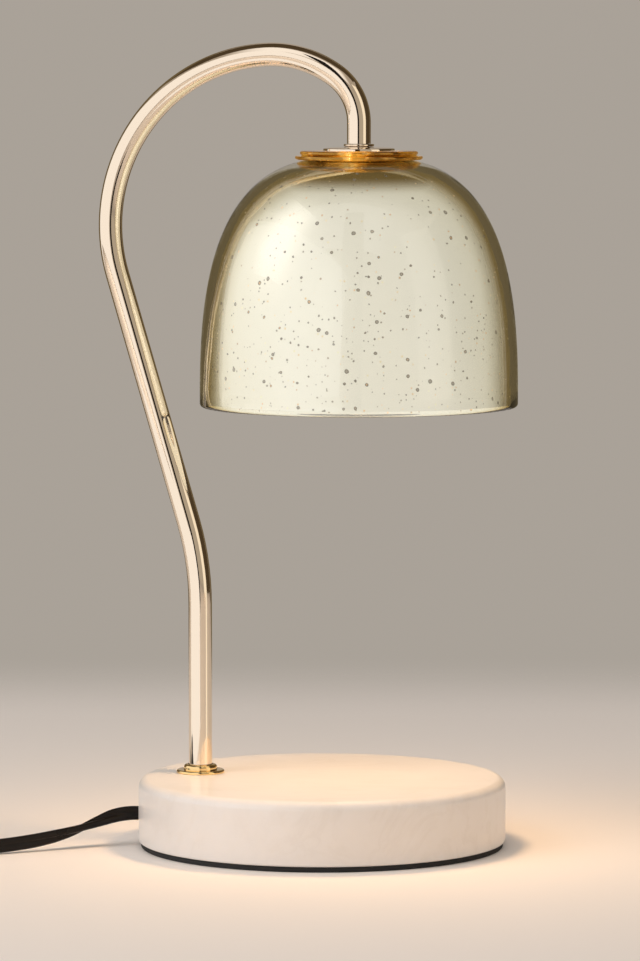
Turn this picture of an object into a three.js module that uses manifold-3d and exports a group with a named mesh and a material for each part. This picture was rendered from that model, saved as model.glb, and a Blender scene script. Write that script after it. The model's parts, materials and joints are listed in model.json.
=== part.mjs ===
// Candle warmer lamp: a marble foot, a bent tube arm and a glass bell shade that hangs over
// the candle's place. Inside are the threaded nipples that clamp it together, the wiring, a
// twist-lock socket and a reflector bulb. A flat twin cord leaves the foot, passes a dimmer,
// lies in a coil and ends in a two-blade plug.
// Millimetres, +Z up. The origin is the centre of the foot's underside. The arm lies in the
// XZ plane and carries the shade towards +X.

import * as THREE from 'three';
import { mergeVertices } from 'three/addons/utils/BufferGeometryUtils.js';
import Module from 'manifold-3d';

// Fits
const fitGap = 0.3;             // round a piece that passes through another
const seatGap = 0.1;            // between flat faces that rest on each other
const cutOverrun = 3;           // how far a cut runs past the face that it opens

// Foot
const baseDiameter = 145;
const baseThickness = 25;
const baseTopFillet = 3.8;
const baseBottomFillet = 0.8;
const padInset = 1;             // from the foot's edge to the pad's
const padThickness = 2;
const recessRadius = 21;        // wiring recess in the foot's underside
const recessWeb = 9;            // stone left above the recess
const recessShift = 5;          // from the arm's axis to the recess's, towards the middle
const cordHoleDiameter = 7.8;
const cordHoleHeight = 12.6;    // axis above the table
const bushingLength = 12;
const bushingEdge = 0.5;
const cordSeatShare = 0.15;     // where the free cord starts, as a share of the bushing

// Arm
const tubeDiameter = 9.5;
const tubeWall = 0.8;
const armEdgeGap = 22.5;        // from the foot's edge to the arm's axis
const footOffset = baseDiameter / 2 - armEdgeGap;
const recessInset = footOffset - recessShift;
const stemRise = 67.2;          // straight up from the foot
const leanRadius = 114;
const leanAngle = 16.6;         // degrees off the upright
const leanRun = 102;
const archRadius = 67.6;
const archAngle = 103.6;
const shoulderRadius = 44.4;
const shoulderAngle = 38.3;
const dropRadius = 22.7;
const dropRun = 8;              // straight end, which the upper nipple fills

// Flange where the arm stands
const flangeDiameter = 19;
const flangeThickness = 1.2;
const flangeStepDiameter = 13.2;
const flangeHeight = 3.4;

// Threaded nipples, their nuts and washers
const nippleWall = 1.35;
const nippleGrip = 12;          // length of the lower one inside the tube
const threadEnd = 1.2;          // thread left past the last nut
const nutFlats = 13;
const nutThickness = 3.6;
const baseWasherDiameter = 24;
const baseWasherThickness = 1.4;
const lockWasherDiameter = 13;
const lockWasherThickness = 1.3;

// Crown stack, from the arm's end down
const ringDiameter = 12;
const ringThickness = 1;
const canopyDiameter = 28;
const canopyThickness = 1.5;
const canopyEdge = 0.6;
const collarDiameter = 50;
const collarThickness = 3.5;
const collarGroove = 0.7;
const collarStep = 1.9;         // how far the upper bead stands back from the lower one
const beadEndAngle = 40;        // where a bead turns into the groove, degrees
const gasketDiameter = 27;
const gasketThickness = 1.5;
const crownWasherDiameter = 22;
const crownWasherThickness = 1.2;

// Shade
const shadeDiameter = 125;
const shadeHeight = 96.6;
const shadeWall = 3;
const crownDiameter = 42;       // flat top that the collar sits on
const bellWidthPower = 3;       // the bell's outline is a superellipse of these two powers
const bellHeightPower = 2.65;

// Socket bracket, folded from strip
const stripThickness = 1.2;
const stripWidth = 13;
const hatWidth = 19;
const hatHeight = 12;
const hatFoot = 7.5;
const bracketScrewDiameter = 2.8;
const bracketScrewLength = 6;
const screwHeadDiameter = 5;
const screwHeadHeight = 1.5;

// Twist-lock socket
const socketLength = 35;
const socketWidth = 21.5;
const socketHeight = 16;
const socketFrontWall = 2.4;
const socketTopWall = 5.6;
const pinSpacing = 10;
const pinDiameter = 3;
const pinHeadDiameter = 5;
const pinLength = 7;
const pinHeadLength = 1.8;
const socketCornerShare = 0.42;
const slotPlay = 0.45;          // round a pin in its slot
const twistAngle = 30;          // degrees from locked to free
const wireHoleDiameter = 2.4;
const contactWidth = 3;
const contactThickness = 0.5;
const contactReach = 3.6;

// Reflector bulb
const bulbDiameter = 50;
const bulbLength = 46.5;        // from the front face to the cap's top face
const bulbRim = 4;              // straight band behind the front face
const bowlDepth = 28;
const bowlWall = 1.4;
const bowlPower = 1.35;         // how soon the bowl closes in towards the neck
const neckDiameter = 23;
const neckBore = 11;
const lensThickness = 1.6;
const lensInset = 0.6;
const lensCrownShares = [0.5, 0.9];
const capDiameter = 25;
const capChamfer = 1.2;
const capsuleDiameter = 9;
const capsuleLength = 20;

// Wires
const wireDiameter = 1.6;
const wireSpacing = 2.1;        // between the two wires inside the arm
const crimpDiameter = 6;
const crimpLength = 11;
const crimpReach = 10;          // from the arm's axis to the cap's mouth
const crimpWall = 0.6;
const crimpGap = 3;             // between the two caps
const crimpTipShare = 0.6;

// Cord: flat twin, lying on its narrow side
const cordWidth = 5.6;
const cordThickness = 2.8;
const cordTurn = 15;            // degrees that the cord's layout is turned about the foot
const cordPlay = 0.6;           // round the cord where it enters a moulding
const floorGap = 0.1;

// Coil of the spare cord
const coilX = -184;
const coilY = 6;
const coilRadius = 36.6;        // outermost turn, at the cord's middle
const coilPitch = 3.3;          // from turn to turn
const coilLayerPitch = 6.1;     // from layer to layer
const coilStartAngle = 60;      // degrees
const coilSteps = 166;
const coilStepAngle = 15;

// Inline dimmer
const dimmerX = -238;
const dimmerY = 5.4;
const dimmerLength = 56;
const dimmerWidth = 26;
const dimmerHeight = 16;
const dimmerSplit = 7;          // height of the joint between the two cases
const dimmerCorner = 9;
const dimmerEdge = 2.2;
const dimmerWall = 1.8;
const wheelDiameter = 16;
const wheelWidth = 5;
const wheelProud = 2.4;         // how far the wheel stands out of the case
const wheelRibs = 28;
const wheelRib = 0.5;
const axleDiameter = 3;
const axleLength = 17;
const caseScrewDiameter = 2.4;
const caseScrewInset = 9;       // from the case's end to the screw
const caseScrewLength = 9;
const columnWall = 1.8;         // round a screw's hole
const postThickness = 2.3;      // on each side of the wheel
const boardLength = 30;
const boardThickness = 1.4;

// Plug
const plugX = -182;
const plugY = 88.8;
const plugReliefLength = 21;
const plugReliefWidth = 8;
const plugBodyLength = 24;
const plugBodyWidth = 22;
const plugBodyHeight = 12;
const plugEdge = 2;
const bladeSpacing = 12.7;
const bladeLength = 16.5;
const bladeThickness = 1.5;
const bladeWidth = 6.35;
const wideBladeWidth = 7.9;
const bladeTip = 1;

const wasm = await Module();
wasm.setup();
const degrees = Math.PI / 180;
const upright = new THREE.Vector3(0, 0, 1);

// Shape tools

function closed(geometry) {
  // One closed skin of positions: corners joined, slivers dropped, faces turned outwards.
  const bare = geometry.clone();
  for (const name of Object.keys(bare.attributes)) {
    if (name !== 'position') bare.deleteAttribute(name);
  }
  const merged = mergeVertices(bare);
  const place = merged.attributes.position;
  const corner = [new THREE.Vector3(), new THREE.Vector3(), new THREE.Vector3()];
  const kept = [];
  let volume = 0;
  for (let i = 0; i < merged.index.count; i += 3) {
    const face = [0, 1, 2].map((k) => merged.index.getX(i + k));
    if (new Set(face).size < 3) continue;
    face.forEach((id, k) => corner[k].fromBufferAttribute(place, id));
    volume += corner[0].dot(corner[1].clone().cross(corner[2]));
    kept.push(...face);
  }
  if (volume < 0) kept.reverse();
  merged.setIndex(kept);
  merged.computeVertexNormals();
  return merged;
}

function solidOf(geometry) {
  const skin = closed(geometry);
  return new wasm.Manifold(new wasm.Mesh({
    numProp: 3,
    vertProperties: new Float32Array(skin.attributes.position.array),
    triVerts: new Uint32Array(skin.index.array),
  }));
}

function geometryOf(solid) {
  const mesh = solid.getMesh();
  const geometry = new THREE.BufferGeometry();
  geometry.setAttribute('position', new THREE.BufferAttribute(mesh.vertProperties, 3));
  geometry.setIndex(new THREE.BufferAttribute(mesh.triVerts, 1));
  return geometry;
}

function cut(geometry, ...tools) {
  return geometryOf(tools.reduce((left, tool) => left.subtract(solidOf(tool)), solidOf(geometry)));
}

function join(...geometries) {
  return geometryOf(geometries.map(solidOf).reduce((sum, next) => sum.add(next)));
}

function revolve(outline, sides) {
  // Turns [radius, height] pairs about the vertical axis.
  const profile = outline.map(([radius, height]) => new THREE.Vector2(radius, height));
  return new THREE.LatheGeometry(profile, sides).rotateX(Math.PI / 2);
}

function ringOutline(innerRadius, outline) {
  // Closes an outer outline, from bottom to top, over a straight bore.
  const bottom = [innerRadius, outline[0][1]];
  return [bottom, ...outline, [innerRadius, outline.at(-1)[1]], bottom];
}

function washer(innerRadius, outerRadius, thickness, sides) {
  return revolve(ringOutline(innerRadius, [[outerRadius, 0], [outerRadius, thickness]]), sides);
}

function rod(radius, bottom, top, sides) {
  const length = top - bottom;
  const cylinder = new THREE.CylinderGeometry(radius, radius, length, sides);
  return cylinder.rotateX(Math.PI / 2).translate(0, 0, bottom + length / 2);
}

function roundCorner(centre, height, radius, from, to, steps) {
  // Points of an arc in a revolve outline, angles in degrees.
  return Array.from({ length: steps + 1 }, (_, i) => {
    const angle = (from + (to - from) * i / steps) * degrees;
    return [centre + radius * Math.cos(angle), height + radius * Math.sin(angle)];
  });
}

function prism(shape, height, curveSegments = 8) {
  return new THREE.ExtrudeGeometry(shape, { depth: height, bevelEnabled: false, curveSegments });
}

function circleShape(radius) {
  return new THREE.Shape().absarc(0, 0, radius, 0, 2 * Math.PI, false);
}

function polygonShape(points) {
  return new THREE.Shape(points.map(([x, y]) => new THREE.Vector2(x, y)));
}

function roundedBox(length, width, corner) {
  // A plan outline with round corners, centred.
  const x = length / 2 - corner;
  const y = width / 2 - corner;
  const shape = new THREE.Shape();
  shape.absarc(x, y, corner, 0, Math.PI / 2, false);
  shape.absarc(-x, y, corner, Math.PI / 2, Math.PI, false);
  shape.absarc(-x, -y, corner, Math.PI, 1.5 * Math.PI, false);
  shape.absarc(x, -y, corner, 1.5 * Math.PI, 2 * Math.PI, false);
  return shape;
}

function hexNut(boreRadius) {
  const corners = Array.from({ length: 6 }, (_, i) => {
    const angle = i * Math.PI / 3;
    const radius = nutFlats / 2 / Math.cos(Math.PI / 6);
    return [radius * Math.cos(angle), radius * Math.sin(angle)];
  });
  const nut = polygonShape(corners);
  nut.holes.push(new THREE.Path().absarc(0, 0, boreRadius, 0, 2 * Math.PI, true));
  return prism(nut, nutThickness);
}

// A path through stations that a sweep visits one by one.
class StationPath extends THREE.Curve {
  constructor(stations) {
    super();
    this.stations = stations;
  }

  getPoint(t, target = new THREE.Vector3()) {
    const place = t * (this.stations.length - 1);
    const before = Math.min(Math.floor(place), this.stations.length - 2);
    return target.lerpVectors(this.stations[before], this.stations[before + 1], place - before);
  }

  getUtoTmapping(u) {
    return u;
  }
}

// The same path for a flat cord, whose section keeps its X upright all the way.
class UprightPath extends StationPath {
  computeFrenetFrames(segments) {
    const tangents = [];
    const normals = [];
    const binormals = [];
    for (let i = 0; i <= segments; i += 1) {
      const tangent = this.getTangentAt(i / segments);
      const normal = upright.clone().addScaledVector(tangent, -tangent.z).normalize();
      tangents.push(tangent);
      normals.push(normal);
      binormals.push(tangent.clone().cross(normal));
    }
    return { tangents, normals, binormals };
  }
}

function sweepAlong(extrudePath, section, curveSegments = 4) {
  const steps = extrudePath.stations.length - 1;
  return new THREE.ExtrudeGeometry(section, { steps, bevelEnabled: false, curveSegments, extrudePath });
}

function sweep(stations, section, curveSegments) {
  return sweepAlong(new StationPath(stations), section, curveSegments);
}

function sweepFlat(stations, section) {
  return sweepAlong(new UprightPath(stations), section);
}

function smoothRoute(points, steps) {
  // Evenly spaced stations on a smooth curve through hand-set points.
  const curve = new THREE.CatmullRomCurve3(points.map(([x, y, z]) => new THREE.Vector3(x, y, z)));
  return curve.getSpacedPoints(steps);
}

function routeLength(stations) {
  return stations.slice(1).reduce((sum, point, i) => sum + point.distanceTo(stations[i]), 0);
}

// Heights and radii that several pieces share

const baseTop = padThickness + seatGap + baseThickness;
const recessRoof = baseTop - recessWeb;
const tubeRadius = tubeDiameter / 2;
const nippleRadius = tubeRadius - tubeWall - fitGap;
const nippleBore = nippleRadius - nippleWall;
const nippleHole = nippleRadius + fitGap;
const baseNutTop = recessRoof - baseWasherThickness - lockWasherThickness - 3 * seatGap;
const baseNippleEnd = baseNutTop - nutThickness - threadEnd;

// Arm

class ArmWalk {
  // Walks the arm's plane in straight runs and tangent bends.
  constructor(x, z) {
    this.x = x;
    this.z = z;
    this.heading = Math.PI / 2;
    this.stations = [new THREE.Vector3(x, 0, z)];
  }

  run(length) {
    this.x += length * Math.cos(this.heading);
    this.z += length * Math.sin(this.heading);
    this.stations.push(new THREE.Vector3(this.x, 0, this.z));
  }

  bend(radius, angle, steps) {
    // A positive angle turns away from the shade.
    const side = Math.sign(angle);
    const centreX = this.x - side * radius * Math.sin(this.heading);
    const centreZ = this.z + side * radius * Math.cos(this.heading);
    const start = this.heading;
    for (let i = 1; i <= steps; i += 1) {
      this.heading = start + angle * degrees * i / steps;
      this.x = centreX + side * radius * Math.sin(this.heading);
      this.z = centreZ - side * radius * Math.cos(this.heading);
      this.stations.push(new THREE.Vector3(this.x, 0, this.z));
    }
  }
}

function armStations() {
  const walk = new ArmWalk(-footOffset, baseTop + seatGap);
  walk.run(stemRise);
  walk.bend(leanRadius, leanAngle, 4);
  walk.run(leanRun);
  walk.bend(archRadius, -archAngle, 13);
  walk.bend(shoulderRadius, -shoulderAngle, 5);
  walk.bend(dropRadius, -(180 + leanAngle - archAngle - shoulderAngle), 7);
  walk.run(dropRun);
  return walk.stations;
}

const armPath = armStations();
const footX = -footOffset;
const shadeX = armPath.at(-1).x;
const tubeEnd = armPath.at(-1).z;

function armTube() {
  const wall = circleShape(tubeRadius);
  wall.holes.push(new THREE.Path().absarc(0, 0, tubeRadius - tubeWall, 0, 2 * Math.PI, true));
  return sweep(armPath, wall, 8);
}

function armFlange() {
  const outer = flangeDiameter / 2;
  const step = flangeStepDiameter / 2;
  const edge = flangeThickness / 2;
  const outline = [
    [outer, 0],
    ...roundCorner(outer - edge, flangeThickness - edge, edge, 0, 90, 2),
    [step, flangeThickness],
    ...roundCorner(step - edge, flangeHeight - edge, edge, 0, 90, 2),
  ];
  const ring = revolve(ringOutline(tubeRadius + fitGap, outline), 26);
  return ring.translate(footX, 0, baseTop + seatGap);
}

// Foot

function basePad() {
  return rod(baseDiameter / 2 - padInset, 0, padThickness, 56);
}

function cordDirection(geometry) {
  // Turns a piece that was made along +X so that it points out along the cord's hole.
  return geometry.rotateZ((180 + cordTurn) * degrees);
}

function marbleBase() {
  const radius = baseDiameter / 2;
  const bottom = padThickness + seatGap;
  const body = revolve([
    [0, bottom],
    ...roundCorner(radius - baseBottomFillet, bottom + baseBottomFillet, baseBottomFillet, -90, 0, 2),
    ...roundCorner(radius - baseTopFillet, baseTop - baseTopFillet, baseTopFillet, 0, 90, 4),
    [0, baseTop],
  ], 56);
  const recess = rod(recessRadius, bottom - cutOverrun, recessRoof, 32).translate(-recessInset, 0, 0);
  const stemHole = rod(nippleHole, recessRoof - cutOverrun, baseTop + cutOverrun, 20);
  const cordHole = new THREE.CylinderGeometry(
    cordHoleDiameter / 2, cordHoleDiameter / 2, radius - recessInset + cutOverrun, 20);
  cordHole.rotateZ(Math.PI / 2);
  cordHole.translate(recessInset + (radius - recessInset + cutOverrun) / 2, 0, cordHoleHeight);
  return cut(body, recess, stemHole.translate(footX, 0, 0), cordDirection(cordHole));
}

function flatTwinShape(halfWidth, halfThickness, cornerShare = 0.5) {
  // Eight corners round the twin cord, wide side along the shape's X.
  const inset = halfThickness * cornerShare;
  const quarter = [[halfWidth, halfThickness - inset], [halfWidth - inset, halfThickness]];
  const left = quarter.map(([x, y]) => [-x, y]).reverse();
  const upper = [...quarter, ...left];
  return polygonShape([...upper, ...upper.map(([x, y]) => [-x, -y])]);
}

function cordBushing() {
  // Its outer end lies flush with the foot's side.
  const face = baseDiameter / 2;
  const barrel = cordHoleDiameter / 2 - fitGap;
  const body = revolve([
    [0, face - bushingLength],
    [barrel, face - bushingLength],
    ...roundCorner(barrel - bushingEdge, face - bushingEdge, bushingEdge, 0, 90, 2),
    [0, face],
  ], 20).rotateY(Math.PI / 2);
  const slot = prism(
    flatTwinShape(cordWidth / 2 + fitGap, cordThickness / 2 + fitGap),
    bushingLength + 2 * cutOverrun,
  ).rotateY(Math.PI / 2).translate(face - bushingLength - cutOverrun, 0, 0);
  return cordDirection(cut(body, slot).translate(0, 0, cordHoleHeight));
}

// Clamping hardware

function baseNipple() {
  const top = baseTop + seatGap + nippleGrip;
  const tube = washer(nippleBore, nippleRadius, top - baseNippleEnd, 16);
  return tube.translate(footX, 0, baseNippleEnd);
}

function baseWasher() {
  const disc = washer(nippleHole, baseWasherDiameter / 2, baseWasherThickness, 20);
  return disc.translate(footX, 0, recessRoof - seatGap - baseWasherThickness);
}

function baseLockWasher() {
  // A split ring: the cut leaves the two ends one washer's thickness apart.
  const inner = nippleHole;
  const outer = lockWasherDiameter / 2;
  const half = Math.asin(lockWasherThickness / 2 / outer);
  const shape = new THREE.Shape();
  shape.absarc(0, 0, outer, half, 2 * Math.PI - half, false);
  shape.absarc(0, 0, inner, 2 * Math.PI - half, half, true);
  return prism(shape, lockWasherThickness, 10).translate(footX, 0, baseNutTop + seatGap);
}

function baseNut() {
  return hexNut(nippleHole).translate(footX, 0, baseNutTop - nutThickness);
}

// Crown stack: each height is the piece's underside, from the arm's end down

const ringBottom = tubeEnd - seatGap - ringThickness;
const canopyBottom = ringBottom - seatGap - canopyThickness;
const collarBottom = canopyBottom - seatGap - collarThickness;
const crownTop = collarBottom - seatGap;
const rimHeight = crownTop - shadeHeight;
const gasketBottom = crownTop - shadeWall - seatGap - gasketThickness;
const crownWasherBottom = gasketBottom - seatGap - crownWasherThickness;
const crownNutBottom = crownWasherBottom - seatGap - nutThickness;
const hatTop = crownNutBottom - seatGap;
const bracketNutBottom = hatTop - stripThickness - seatGap - nutThickness;
const crownNippleEnd = bracketNutBottom - threadEnd;
const socketTop = hatTop - hatHeight - seatGap;
const socketFace = socketTop - socketHeight;
const capTop = socketFace - seatGap;
const bulbFace = capTop - bulbLength;

function crownNipple() {
  const top = tubeEnd + dropRun;
  const tube = washer(nippleBore, nippleRadius, top - crownNippleEnd, 16);
  return tube.translate(shadeX, 0, crownNippleEnd);
}

function tubeRing() {
  const radius = ringDiameter / 2;
  const edge = ringThickness / 2;
  const outline = [[radius - edge, 0], ...roundCorner(radius - edge, edge, edge, -45, 45, 2)];
  outline.push([radius - edge, ringThickness]);
  return revolve(ringOutline(nippleHole, outline), 20).translate(shadeX, 0, ringBottom);
}

function canopyWasher() {
  // A shallow dome: its top falls from the ring to a thin edge.
  const outer = canopyDiameter / 2;
  const inner = ringDiameter / 2;
  const fallShares = [1, 0.93, 0.72, 0.4, 0];
  const dome = fallShares.map((share, i) => {
    const radius = outer - (outer - inner) * (1 - i / (fallShares.length - 1));
    return [radius, canopyEdge + (canopyThickness - canopyEdge) * share];
  }).reverse();
  const outline = [[outer, 0], ...dome];
  return revolve(ringOutline(nippleHole, outline), 30).translate(shadeX, 0, canopyBottom);
}

function glassCollar() {
  // A disc on a wider disc, each with a beaded edge, and a groove between them.
  const radius = collarDiameter / 2;
  const upper = radius - collarStep;
  const bead = collarThickness / 4;
  const outline = [
    ...roundCorner(radius - bead, bead, bead, -90, beadEndAngle, 3),
    [upper - collarGroove, collarThickness / 2],
    ...roundCorner(upper - bead, collarThickness - bead, bead, -beadEndAngle, 90, 3),
  ];
  return revolve(ringOutline(nippleHole, outline), 32).translate(shadeX, 0, collarBottom);
}

function bellPoint(radius, height, crownRadius, share) {
  // One point of the bell's superellipse, from the rim (share 0) to the flat crown (share 1).
  const end = Math.acos((crownRadius / radius) ** (bellWidthPower / 2));
  const full = height / Math.sin(end) ** (2 / bellHeightPower);
  const angle = end * share;
  return [
    radius * Math.cos(angle) ** (2 / bellWidthPower),
    full * Math.sin(angle) ** (2 / bellHeightPower),
  ];
}

function bellOutline(radius, height, crownRadius, lift, steps) {
  return Array.from({ length: steps + 1 }, (_, i) => {
    const [r, h] = bellPoint(radius, height - lift, crownRadius, i / steps);
    return [r, h + lift];
  });
}

function shade() {
  const radius = shadeDiameter / 2;
  const lip = shadeWall / 2;
  const crown = crownDiameter / 2;
  const outer = bellOutline(radius, shadeHeight, crown, lip, 11);
  const inner = bellOutline(
    radius - shadeWall, shadeHeight - shadeWall, crown - lip, lip, 8).reverse();
  const rim = roundCorner(radius - lip, lip, lip, 180, 360, 4).slice(1, -1);
  const hole = nippleHole;
  const outline = [
    ...outer,
    [hole, shadeHeight],
    [hole, shadeHeight - shadeWall],
    ...inner,
    ...rim,
    outer[0],
  ];
  return revolve(outline, 40).translate(shadeX, 0, rimHeight);
}

function shadeGasket() {
  const disc = washer(nippleHole, gasketDiameter / 2, gasketThickness, 20);
  return disc.translate(shadeX, 0, gasketBottom);
}

function crownWasher() {
  const disc = washer(nippleHole, crownWasherDiameter / 2, crownWasherThickness, 20);
  return disc.translate(shadeX, 0, crownWasherBottom);
}

function crownNut() {
  return hexNut(nippleHole).translate(shadeX, 0, crownNutBottom);
}

// Socket and its bracket

const screwX = hatWidth / 2 + hatFoot / 2;

function socketBracket() {
  // The folded strip seen from its edge: foot, leg, top, leg, foot.
  const leg = hatWidth / 2;
  const tip = leg + hatFoot;
  const right = [
    [tip, -hatHeight],
    [tip, stripThickness - hatHeight],
    [leg, stripThickness - hatHeight],
    [leg, 0],
  ];
  const inside = [
    [-leg + stripThickness, -hatHeight],
    [-leg + stripThickness, -stripThickness],
    [leg - stripThickness, -stripThickness],
    [leg - stripThickness, -hatHeight],
  ];
  const left = right.map(([x, z]) => [-x, z]).reverse();
  const strip = prism(polygonShape([...inside, ...right, ...left]), stripWidth);
  strip.rotateX(Math.PI / 2).translate(0, stripWidth / 2, 0);
  const screwHole = rod(bracketScrewDiameter / 2 + fitGap, -hatHeight - cutOverrun, 0, 12);
  const holes = [-screwX, screwX].map((x) => screwHole.clone().translate(x, 0, 0));
  holes.push(rod(nippleHole, -stripThickness - cutOverrun, cutOverrun, 20));
  return cut(strip, ...holes).translate(shadeX, 0, hatTop);
}

function bracketNut() {
  return hexNut(nippleHole).translate(shadeX, 0, bracketNutBottom);
}

function panScrew(shankRadius, shankLength) {
  // Head above zero, shank below it.
  const head = screwHeadDiameter / 2;
  return revolve([
    [0, -shankLength],
    [shankRadius, -shankLength],
    [shankRadius, 0],
    [head, 0],
    [head, screwHeadHeight / 2],
    [head / 2, screwHeadHeight],
    [0, screwHeadHeight],
  ], 12);
}

function bracketScrew(side) {
  const screw = panScrew(bracketScrewDiameter / 2, bracketScrewLength);
  const seat = socketTop + seatGap + stripThickness + seatGap;
  return screw.translate(shadeX + side * screwX, 0, seat);
}

function arcSlot(radius, width, from, to) {
  // A slot along an arc about the origin, with round ends; angles in degrees.
  const a = from * degrees;
  const b = to * degrees;
  const half = width / 2;
  const shape = new THREE.Shape();
  shape.absarc(0, 0, radius + half, a, b, false);
  shape.absarc(radius * Math.cos(b), radius * Math.sin(b), half, b, b + Math.PI, false);
  shape.absarc(0, 0, radius - half, b, a, true);
  shape.absarc(radius * Math.cos(a), radius * Math.sin(a), half, a + Math.PI, a + 2 * Math.PI, false);
  return shape;
}

function lampSocket() {
  const plan = roundedBox(socketLength, socketWidth, socketWidth * socketCornerShare);
  const body = prism(plan, socketHeight, 4);
  const pinCircle = pinSpacing / 2;
  const roof = socketHeight - socketTopWall;
  const tools = [];
  for (const side of [90, -90]) {
    const entry = side - twistAngle;
    const narrow = arcSlot(pinCircle, pinDiameter + 2 * slotPlay, entry, side);
    const wide = arcSlot(pinCircle, pinHeadDiameter + 2 * slotPlay, entry, side);
    const mouth = rod(pinHeadDiameter / 2 + slotPlay, -cutOverrun, socketFrontWall + cutOverrun, 14);
    mouth.translate(pinCircle * Math.cos(entry * degrees), pinCircle * Math.sin(entry * degrees), 0);
    const wireHole = rod(wireHoleDiameter / 2, roof - cutOverrun, socketHeight + cutOverrun, 12);
    wireHole.translate(0, pinCircle * Math.sign(side), 0);
    tools.push(prism(narrow, socketFrontWall + cutOverrun, 4).translate(0, 0, -cutOverrun / 2));
    tools.push(prism(wide, roof - socketFrontWall, 4).translate(0, 0, socketFrontWall));
    tools.push(mouth, wireHole);
  }
  for (const side of [-1, 1]) {
    const bottom = socketHeight - bracketScrewLength - fitGap;
    const hole = rod(bracketScrewDiameter / 2 + fitGap, bottom, socketHeight + cutOverrun, 12);
    tools.push(hole.translate(side * screwX, 0, 0));
  }
  return cut(body, ...tools).translate(shadeX, 0, socketFace);
}

function socketContact(side) {
  // A leaf spring folded in a Z: its lower leaf bears on the pin's head.
  const roof = socketHeight - socketTopWall - seatGap;
  const low = pinLength - seatGap + fitGap;
  const half = contactReach / 2;
  const t = contactThickness;
  const strip = polygonShape([
    [-half, roof - t], [half - 2 * t, roof - t], [-half + t, low + t], [-half + t, low],
    [half, low], [half, low + t], [-half + 3 * t, low + t], [half, roof - t], [half, roof],
    [-half, roof],
  ]);
  const leaf = prism(strip, contactWidth).rotateX(Math.PI / 2).translate(0, contactWidth / 2, 0);
  return leaf.translate(shadeX, side * pinSpacing / 2, socketFace);
}

// Reflector bulb, built up from its front face

function bulbReflector() {
  const rim = bulbDiameter / 2;
  const neck = neckDiameter / 2;
  const steps = 6;
  const bowl = (wall) => Array.from({ length: steps + 1 }, (_, i) => {
    const share = i / steps;
    const radius = neck + (rim - neck) * Math.sqrt(1 - share ** bowlPower) - wall;
    return [radius, bulbRim + (bowlDepth - bulbRim) * share];
  });
  const outline = [
    [rim - bowlWall, 0],
    [rim, 0],
    ...bowl(0),
    [neckBore / 2, bowlDepth],
    [neckBore / 2, bowlDepth - bowlWall],
    ...bowl(bowlWall).reverse().slice(1),
    [rim - bowlWall, 0],
  ];
  return revolve(outline, 28).translate(shadeX, 0, bulbFace);
}

function bulbLens() {
  const radius = bulbDiameter / 2 - bowlWall - fitGap;
  const lens = revolve([
    [0, lensInset],
    [radius, lensInset],
    [radius, lensInset + lensThickness / 2],
    [radius * lensCrownShares[0], lensInset + lensThickness * lensCrownShares[1]],
    [0, lensInset + lensThickness],
  ], 28);
  return lens.translate(shadeX, 0, bulbFace);
}

function bulbCapsule() {
  const radius = capsuleDiameter / 2;
  const top = bowlDepth;
  const dome = roundCorner(0, top - capsuleLength + radius, radius, -90, 0, 4);
  return revolve([...dome, [radius, top], [0, top]], 16).translate(shadeX, 0, bulbFace);
}

function bulbCap() {
  const radius = capDiameter / 2;
  const bottom = bulbFace + bowlDepth + seatGap;
  const height = capTop - bottom;
  const cap = revolve([
    [0, 0],
    [neckDiameter / 2, 0],
    [radius, capChamfer],
    [radius, height - capChamfer],
    [radius - capChamfer, height],
    [0, height],
  ], 24);
  return cap.translate(shadeX, 0, bottom);
}

function bulbPin(side) {
  const neck = pinLength - pinHeadLength;
  const stem = pinDiameter / 2;
  const head = pinHeadDiameter / 2;
  const pin = revolve([
    [0, seatGap],
    [stem, seatGap],
    [stem, neck],
    [head, neck],
    [head, pinLength - pinHeadLength / 3],
    [head - pinHeadLength / 3, pinLength],
    [0, pinLength],
  ], 12);
  return pin.translate(shadeX, side * pinSpacing / 2, capTop);
}

// Wiring

const crimpMouth = footX + crimpReach;
const crimpHeight = baseNippleEnd - crimpDiameter / 4;
const crimpY = (crimpDiameter + crimpGap) / 2;

// How far a wire sags below its crimp cap, as shares of its diameter, and where it spreads to
// the socket, as shares of the way down from the crown's nipple to the socket's top.
const wireSagShares = [0.45, 0.8];
const wireSpreadShares = [0.08, 0.45, 0.85];

function leadWire(side) {
  // From the crimp cap up through the nipple, the arm and the crown to the socket's contact.
  const y = side * wireSpacing / 2;
  const enter = crimpMouth + crimpWall;
  const lead = crimpReach / 4;
  const crimpSideY = side * (crimpY - wireDiameter / 2 - fitGap / 2);
  const start = smoothRoute([
    [enter, crimpSideY, crimpHeight],
    [crimpMouth - lead, crimpSideY, crimpHeight - wireDiameter * wireSagShares[0]],
    [footX + lead, (y + crimpSideY) / 2, crimpHeight - wireDiameter * wireSagShares[1]],
    [footX, y, baseNippleEnd - wireDiameter / 2],
    [footX, y, baseNippleEnd + threadEnd],
  ], 10);
  const along = armPath.filter((_, i) => i % 2 === 1)
    .map((point) => new THREE.Vector3(point.x, y, point.z));
  const pinY = side * pinSpacing / 2;
  const drop = crownNippleEnd - socketTop;
  const end = smoothRoute([
    [shadeX, y, crownNippleEnd + threadEnd],
    [shadeX, y, crownNippleEnd - drop * wireSpreadShares[0]],
    [shadeX, (y + pinY) / 2, crownNippleEnd - drop * wireSpreadShares[1]],
    [shadeX, pinY, crownNippleEnd - drop * wireSpreadShares[2]],
    [shadeX, pinY, socketTop - socketTopWall + fitGap],
  ], 8);
  return sweep([...start, ...along, ...end], circleShape(wireDiameter / 2), 3);
}

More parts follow.
